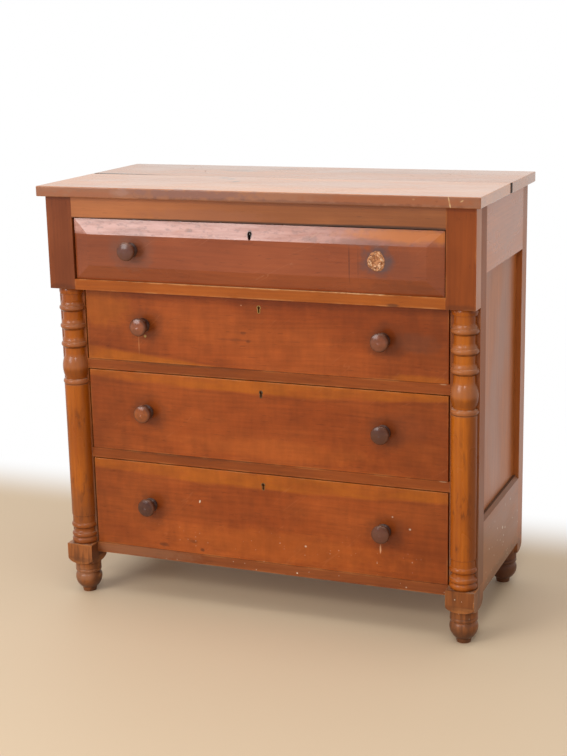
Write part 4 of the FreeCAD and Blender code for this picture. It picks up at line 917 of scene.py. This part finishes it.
for shift, name in enumerate(DRAWERS[1:]):
    low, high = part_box(f"{name}_drawer_front")
    hands = [(side * KNOB_X + 0.01, KNOB_Z[name] - 0.004, 0.062, 0.052, HAND_DIRT, 0.42)
             for side in (-1, 1)]
    marks = [
        # Painted light in the middle of the front and painted shade at its two ends.
        shaded_ends,
        *lower_marks[name],
        curly,
        *smudges(LOWER_FACE, 0.05, hands),
        scratched((0.0, 0.7, 0.0), (0.45, 0.15, 0.05), 0.15),
        rubbed(low, high, 0.4),
        inner_face,
    ]
    heart = (47.0 + 3.0 * shift, -0.13, (low.z + high.z) / 2 + 0.02)
    dress(f"{name}_drawer_front", "x", heart, LOWER_FRONT, marks=marks)

# The knobs are turned from close-grained cherry, stained a deep brown, with tenons glued through.
# Hands have worn their faces back to the wood, each by its own amount, and left the necks black.
KNOB = ((0.085, 0.028, 0.013), (0.15, 0.050, 0.025))
KNOB_STAIN = (0.040, 0.010, 0.005)


def handled(seat, height, left, right):
    """A mark: the worn colours of the left and the right face, and black from the cup to the seat."""
    def lay(tree, spot, look):
        x, y, z = axes(tree, spot)
        across = calc(tree, "SUBTRACT", calc(tree, "ABSOLUTE", x), KNOB_X)
        up = calc(tree, "SUBTRACT", z, height)
        flat = place(tree, "ShaderNodeCombineXYZ", {"X": across, "Z": up}).outputs[0]
        away = place(tree, "ShaderNodeVectorMath", {0: flat}, operation="LENGTH").outputs["Value"]
        uneven = ramp(tree, cloud(tree, spot, (60.0, 60.0, 60.0)), 0.3, 0.7, 0.5, 1.0)
        worn = times(tree, ramp(tree, away, 0.015, 0.0228, 1.0, 0.1), uneven)
        stain(tree, look, worn, tint(tree, calc(tree, "GREATER_THAN", x, 0.0), left, right))
        neck = ramp(tree, y, seat - 0.028, seat - 0.020, 0.0, 0.9)
        stain(tree, look, neck, KNOB_STAIN)
        roughen(tree, look, neck, 0.12)
    return lay


WORN_FACES = {
    "top": ((0.115, 0.046, 0.036), (0.115, 0.046, 0.036)),
    "second": ((0.26, 0.080, 0.036), (0.22, 0.066, 0.031)),
    "third": ((0.30, 0.078, 0.018), (0.085, 0.030, 0.018)),
    "bottom": ((0.058, 0.022, 0.018), (0.13, 0.046, 0.028)),
}
for shift, (name, faces) in enumerate(WORN_FACES.items()):
    on_top = name == "top"
    seat = field_y if on_top else LOWER_FACE
    height = TOP_KNOB_Z if on_top else KNOB_Z[name]
    knobs = "top_drawer_knob_left" if on_top else f"{name}_drawer_knobs"
    # Dust with a painted highlight on upper faces and dirt with painted shade under the knobs.
    marks = [handled(seat, height, *faces), dust_dirt_and_shading(0.25, 0.3)]
    dress(knobs, "y", (0.30, 63.0 + shift, height - 0.02), KNOB, gloss=0.21, shellac=0.2, marks=marks)

# The right knob of the top drawer has snapped off and left the end of its tenon in the hole.
# A crust of old glue and torn fibre stands round it, tan where it is fresh and brown where it is not.
TORN = ((0.40, 0.150, 0.055), (0.60, 0.29, 0.135))
GLUE_LINES = (0.19, 0.062, 0.020)
FRESH_TEAR = (0.74, 0.46, 0.27)


def torn_lines(tree, spot, look):
    """A mark: brown curls between ridges of torn wood and glue."""
    curls = cloud(tree, spot, (75.0, 75.0, 75.0), detail=4.0)
    ridge = ramp(tree, calc(tree, "ABSOLUTE", calc(tree, "SUBTRACT", curls, 0.5)), 0.01, 0.06, 0.9, 0.0)
    proud = ramp(tree, axes(tree, spot)["Y"], field_y - 0.0016, field_y - 0.0024)
    stain(tree, look, proud, FRESH_TEAR)
    stain(tree, look, ridge, GLUE_LINES)
    look["height"] = calc(tree, "SUBTRACT", look["height"], times(tree, ridge, 3.0))


torn_wood = wood("torn wood", "y", (KNOB_X, 70.0, TOP_KNOB_Z), TORN, gloss=0.5, marks=[torn_lines])
paint("top_drawer_broken_tenon", torn_wood)
CRUST_INNER = 0.0080
CRUST_OUTER = 0.0216
CRUST_RISE = 0.0016
CRUST_SINK = 0.001
CRUST_ROWS = 16
CRUST_STEPS = 110
CRUST_STRETCH = (1.0, 1.0, 1.14)
CRUST_WANDER = 0.2
CRUST_TEAR = 0.9
crust = bmesh.new()
outline = []
for row in range(CRUST_ROWS + 1):
    share = row / CRUST_ROWS
    radius = CRUST_INNER + (CRUST_OUTER - CRUST_INNER) * share
    rise = CRUST_RISE * math.sin(math.pi * share) ** 0.5
    outline.append(crust.verts.new((KNOB_X + radius, field_y - rise, TOP_KNOB_Z)))
for radius in (CRUST_OUTER, CRUST_INNER):
    outline.append(crust.verts.new((KNOB_X + radius, field_y + CRUST_SINK, TOP_KNOB_Z)))
rim = [crust.edges.new((outline[spot - 1], outline[spot])) for spot in range(len(outline))]
bmesh.ops.spin(crust, geom=outline + rim, cent=(KNOB_X, 0.0, TOP_KNOB_Z), axis=(0.0, 1.0, 0.0),
               angle=2 * math.pi, steps=CRUST_STEPS, use_merge=True)
bmesh.ops.scale(crust, vec=CRUST_STRETCH, space=Matrix.Translation((-KNOB_X, 0.0, -TOP_KNOB_Z)),
                verts=crust.verts)
for corner in crust.verts:
    bend = noise.noise(corner.co * 70.0)
    ridge = 1.0 - 3.0 * abs(noise.noise(corner.co * 150.0 + Vector((1.6 * bend, 0.0, -1.6 * bend))))
    proud = field_y - corner.co.y
    outward = corner.co - Vector((KNOB_X, corner.co.y, TOP_KNOB_Z))
    corner.co += CRUST_WANDER * bend * outward
    if proud > 0.0:
        corner.co.y -= CRUST_TEAR * proud * ridge
bmesh.ops.recalc_face_normals(crust, faces=crust.faces)
piece("top_drawer_glue_crust", crust, "top_drawer", torn_wood, smooth=True)

# The locks are iron boxes let into the backs of the fronts, with a bolt that the key throws upward.
# Each is held by four slotted screws, and a pin stands in the keyhole to guide the key.
lock_iron = old_iron("lock iron", (0.16, 0.15, 0.14), 0.12)
bolt_iron = old_iron("bolt iron", (0.30, 0.28, 0.26), 0.02, gloss=0.34)
screw_iron = old_iron("screw iron", (0.22, 0.21, 0.20), 0.1, gloss=0.38)
SCREW_RADIUS = 0.0034
SCREW_TOP_RADIUS = 0.86 * SCREW_RADIUS
SCREW_DEPTH = 0.0012
SCREW_PROUD = 0.3 * SCREW_DEPTH
SLOT_DEPTH = 0.6 * SCREW_DEPTH
SCREW_ACROSS = (-0.025, 0.025)
SCREW_DROPS = (0.008, 0.041)
SLOT_HALF = 0.00045
PIN_RADIUS = 0.0014
PIN_SUNK = 0.005
PIN_IN_LOCK = 0.006
TOP_KEY_DROP = 0.0235
KEY_DROP = 0.0275
FACING_BACK = Matrix.Rotation(-math.pi / 2, 4, "X")


def screw_head(shape, at, turn):
    """A slotted screw head that faces the back of the chest."""
    head = bmesh.new()
    bmesh.ops.create_cone(head, cap_ends=True, segments=24, radius1=SCREW_RADIUS,
                          radius2=SCREW_TOP_RADIUS, depth=SCREW_DEPTH)
    for side in (-1, 1):
        bmesh.ops.bisect_plane(head, geom=head.verts[:] + head.edges[:] + head.faces[:],
                               plane_co=(side * SLOT_HALF, 0.0, 0.0), plane_no=(1.0, 0.0, 0.0))
    slot = [face for face in head.faces
            if face.normal.z > 0.9 and abs(face.calc_center_median().x) < SLOT_HALF]
    sunk = bmesh.ops.extrude_face_region(head, geom=slot)
    floor_of_slot = [item for item in sunk["geom"] if isinstance(item, bmesh.types.BMVert)]
    bmesh.ops.translate(head, vec=(0.0, 0.0, -SLOT_DEPTH), verts=floor_of_slot)
    bmesh.ops.delete(head, geom=slot, context="FACES_ONLY")
    turned = Matrix.Translation(at) @ FACING_BACK @ Matrix.Rotation(turn, 4, "Z")
    bmesh.ops.transform(head, matrix=turned, verts=head.verts)
    finished = bpy.data.meshes.new("screw head")
    head.to_mesh(finished)
    head.free()
    shape.from_mesh(finished)
    bpy.data.meshes.remove(finished)


for name in DRAWERS:
    body = f"{name}_drawer"
    paint(f"{body}_lock", lock_iron)
    paint(f"{body}_lock_bolt", bolt_iron)
    low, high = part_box(f"{body}_lock")
    screws = bmesh.new()
    for across in SCREW_ACROSS:
        for drop in SCREW_DROPS:
            turn = 2.5 * noise.noise((across * 90, drop * 70, high.z * 9))
            screw_head(screws, (across, high.y + SCREW_PROUD, high.z - drop), turn)
    piece(f"{body}_lock_screws", screws, body, screw_iron)
    key_z = high.z - (TOP_KEY_DROP if name == "top" else KEY_DROP)
    pin_front, pin_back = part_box(f"{body}_front")[0].y + PIN_SUNK, low.y + PIN_IN_LOCK
    pin_middle = Matrix.Translation((0.0, (pin_front + pin_back) / 2, key_z))
    pin = bmesh.new()
    bmesh.ops.create_cone(pin, cap_ends=True, segments=20, radius1=PIN_RADIUS, radius2=PIN_RADIUS,
                          depth=pin_back - pin_front, matrix=pin_middle @ FACING_BACK)
    piece(f"{body}_key_pin", pin, body, screw_iron)

# The keyholes of the lower drawers are lined with thin cast brass, pressed in flush with the wood.
# Hands have kept the second one yellow, and dirt has dulled the other two.
BRASS = {"second": ((0.43, 0.26, 0.085), 0.08), "third": ((0.22, 0.115, 0.045), 0.25),
         "bottom": ((0.26, 0.150, 0.065), 0.15)}
BRASS_DIRT = (0.10, 0.055, 0.022)
for name, (bright, grime) in BRASS.items():
    material, tree, shader, spot = new_material(f"{name} drawer brass")
    film = cloud(tree, spot, (260.0, 260.0, 260.0), detail=5.0)
    dull = ramp(tree, film, 0.62 - grime, 0.8 - grime)
    fill(tree, shader, {
        "Base Color": tint(tree, dull, bright, BRASS_DIRT),
        "Roughness": ramp(tree, dull, 0.0, 1.0, 0.3, 0.65),
        "Metallic": ramp(tree, dull, 0.0, 1.0, 0.95, 0.3),
        "Normal": relief(tree, film, 0.15, 0.0003),
    })
    paint(f"{name}_drawer_escutcheon", material)

# The stage is a pale, warm floor that turns to white behind the chest and far away from it.
# It is a single sheet under the feet, and keeps the shadow of the chest.
FLOOR_HALF = 14.0
FLOOR_COLOR = (0.68, 0.525, 0.355, 1.0)
WHITE = (1.0, 1.0, 1.0)
WARM_WHITE = (1.0, 0.955, 0.905)
floor_shape = bmesh.new()
bmesh.ops.create_grid(floor_shape, x_segments=1, y_segments=1, size=FLOOR_HALF)
floor_mesh = bpy.data.meshes.new("floor")
floor_shape.to_mesh(floor_mesh)
floor_shape.free()
floor = set_up("floor", floor_mesh)
floor_paint, tree, surface, spot = new_material("pale floor")
fill(tree, surface, {"Base Color": FLOOR_COLOR, "Roughness": 0.6})
away = place(tree, "ShaderNodeVectorMath", {0: spot}, operation="LENGTH").outputs["Value"]
fade = calc(tree, "MAXIMUM", ramp(tree, away, 2.6, 5.5), ramp(tree, axes(tree, spot)["Y"], 0.4, 0.8))
seen = place(tree, "ShaderNodeLightPath").outputs
looked_at = calc(tree, "MAXIMUM", seen["Is Camera Ray"], seen["Is Glossy Ray"])
warm = tint(tree, seen["Is Glossy Ray"], WHITE, WARM_WHITE)
white = place(tree, "ShaderNodeEmission", {"Color": warm, "Strength": 1.0})
mixed = place(tree, "ShaderNodeMixShader", {
    0: times(tree, fade, looked_at), 1: surface.outputs[0], 2: white.outputs[0],
})
fill(tree, tree.nodes["Material Output"], {"Surface": mixed.outputs[0]})
floor_mesh.materials.append(floor_paint)

# The light is that of a white room, brightest from the left, with a large window lamp on that side.
# A lamp above the camera puts the highlights on the turnings, and a broad one lights the top.
world = bpy.data.worlds.new("white room")
bpy.context.scene.world = world
world.use_nodes = True
tree = world.node_tree
seen = place(tree, "ShaderNodeLightPath").outputs
towards = axes(tree, place(tree, "ShaderNodeTexCoord").outputs["Generated"])
room = ramp(tree, towards["X"], -0.9, 0.9, 0.70, 0.56)
mirrored = ramp(tree, towards["Y"], -0.6, 0.1, 0.4, 1.0)
strength = tint(tree, seen["Is Glossy Ray"], room, mirrored)
backdrop = calc(tree, "MAXIMUM", seen["Is Camera Ray"], seen["Is Transmission Ray"])
fill(tree, tree.nodes["Background"], {
    "Strength": calc(tree, "MAXIMUM", strength, backdrop),
    "Color": tint(tree, seen["Is Glossy Ray"], WHITE, WARM_WHITE),
})


def soft_box(name, at, towards, size, power):
    """A rectangular studio lamp that faces a point."""
    lamp = bpy.data.lights.new(name, "AREA")
    lamp.shape = "RECTANGLE"
    lamp.size, lamp.size_y = size
    lamp.energy = power
    holder = set_up(name, lamp)
    holder.location = at
    holder.rotation_euler = (Vector(towards) - Vector(at)).to_track_quat("-Z", "Y").to_euler()


soft_box("window", (-2.3, -3.9, 2.3), (0.0, 0.0, 0.8), (2.2, 1.8), 95.0)
soft_box("overhead", (1.3, -3.9, 3.0), (0.0, 0.0, 0.7), (0.6, 0.6), 30.0)
soft_box("ceiling", (0.2, -0.7, 3.4), (0.2, -0.6, 0.0), (2.4, 1.8), 28.0)

# The camera stands where the photographer did, to the right of the middle and above the top.
# Its place and lens were solved from the edges of the chest.
CAMERA_AT = (1.4072, -3.4987, 1.5135)
CAMERA_TURN = math.radians(22.195)
CAMERA_TILT = math.radians(13.873)
CAMERA_ROLL = math.radians(-1.275)
camera_lens = bpy.data.cameras.new("camera")
camera_lens.sensor_width = 36.0
camera_lens.lens = 70.83
camera = set_up("camera", camera_lens)
turn = Matrix.Rotation(CAMERA_TURN, 4, "Z")
tilt = Matrix.Rotation(math.pi / 2 - CAMERA_TILT, 4, "X")
roll = Matrix.Rotation(CAMERA_ROLL, 4, "Z")
camera.matrix_world = Matrix.Translation(CAMERA_AT) @ turn @ tilt @ roll
bpy.context.scene.camera = camera
bpy.context.scene.view_settings.view_transform = "Standard"
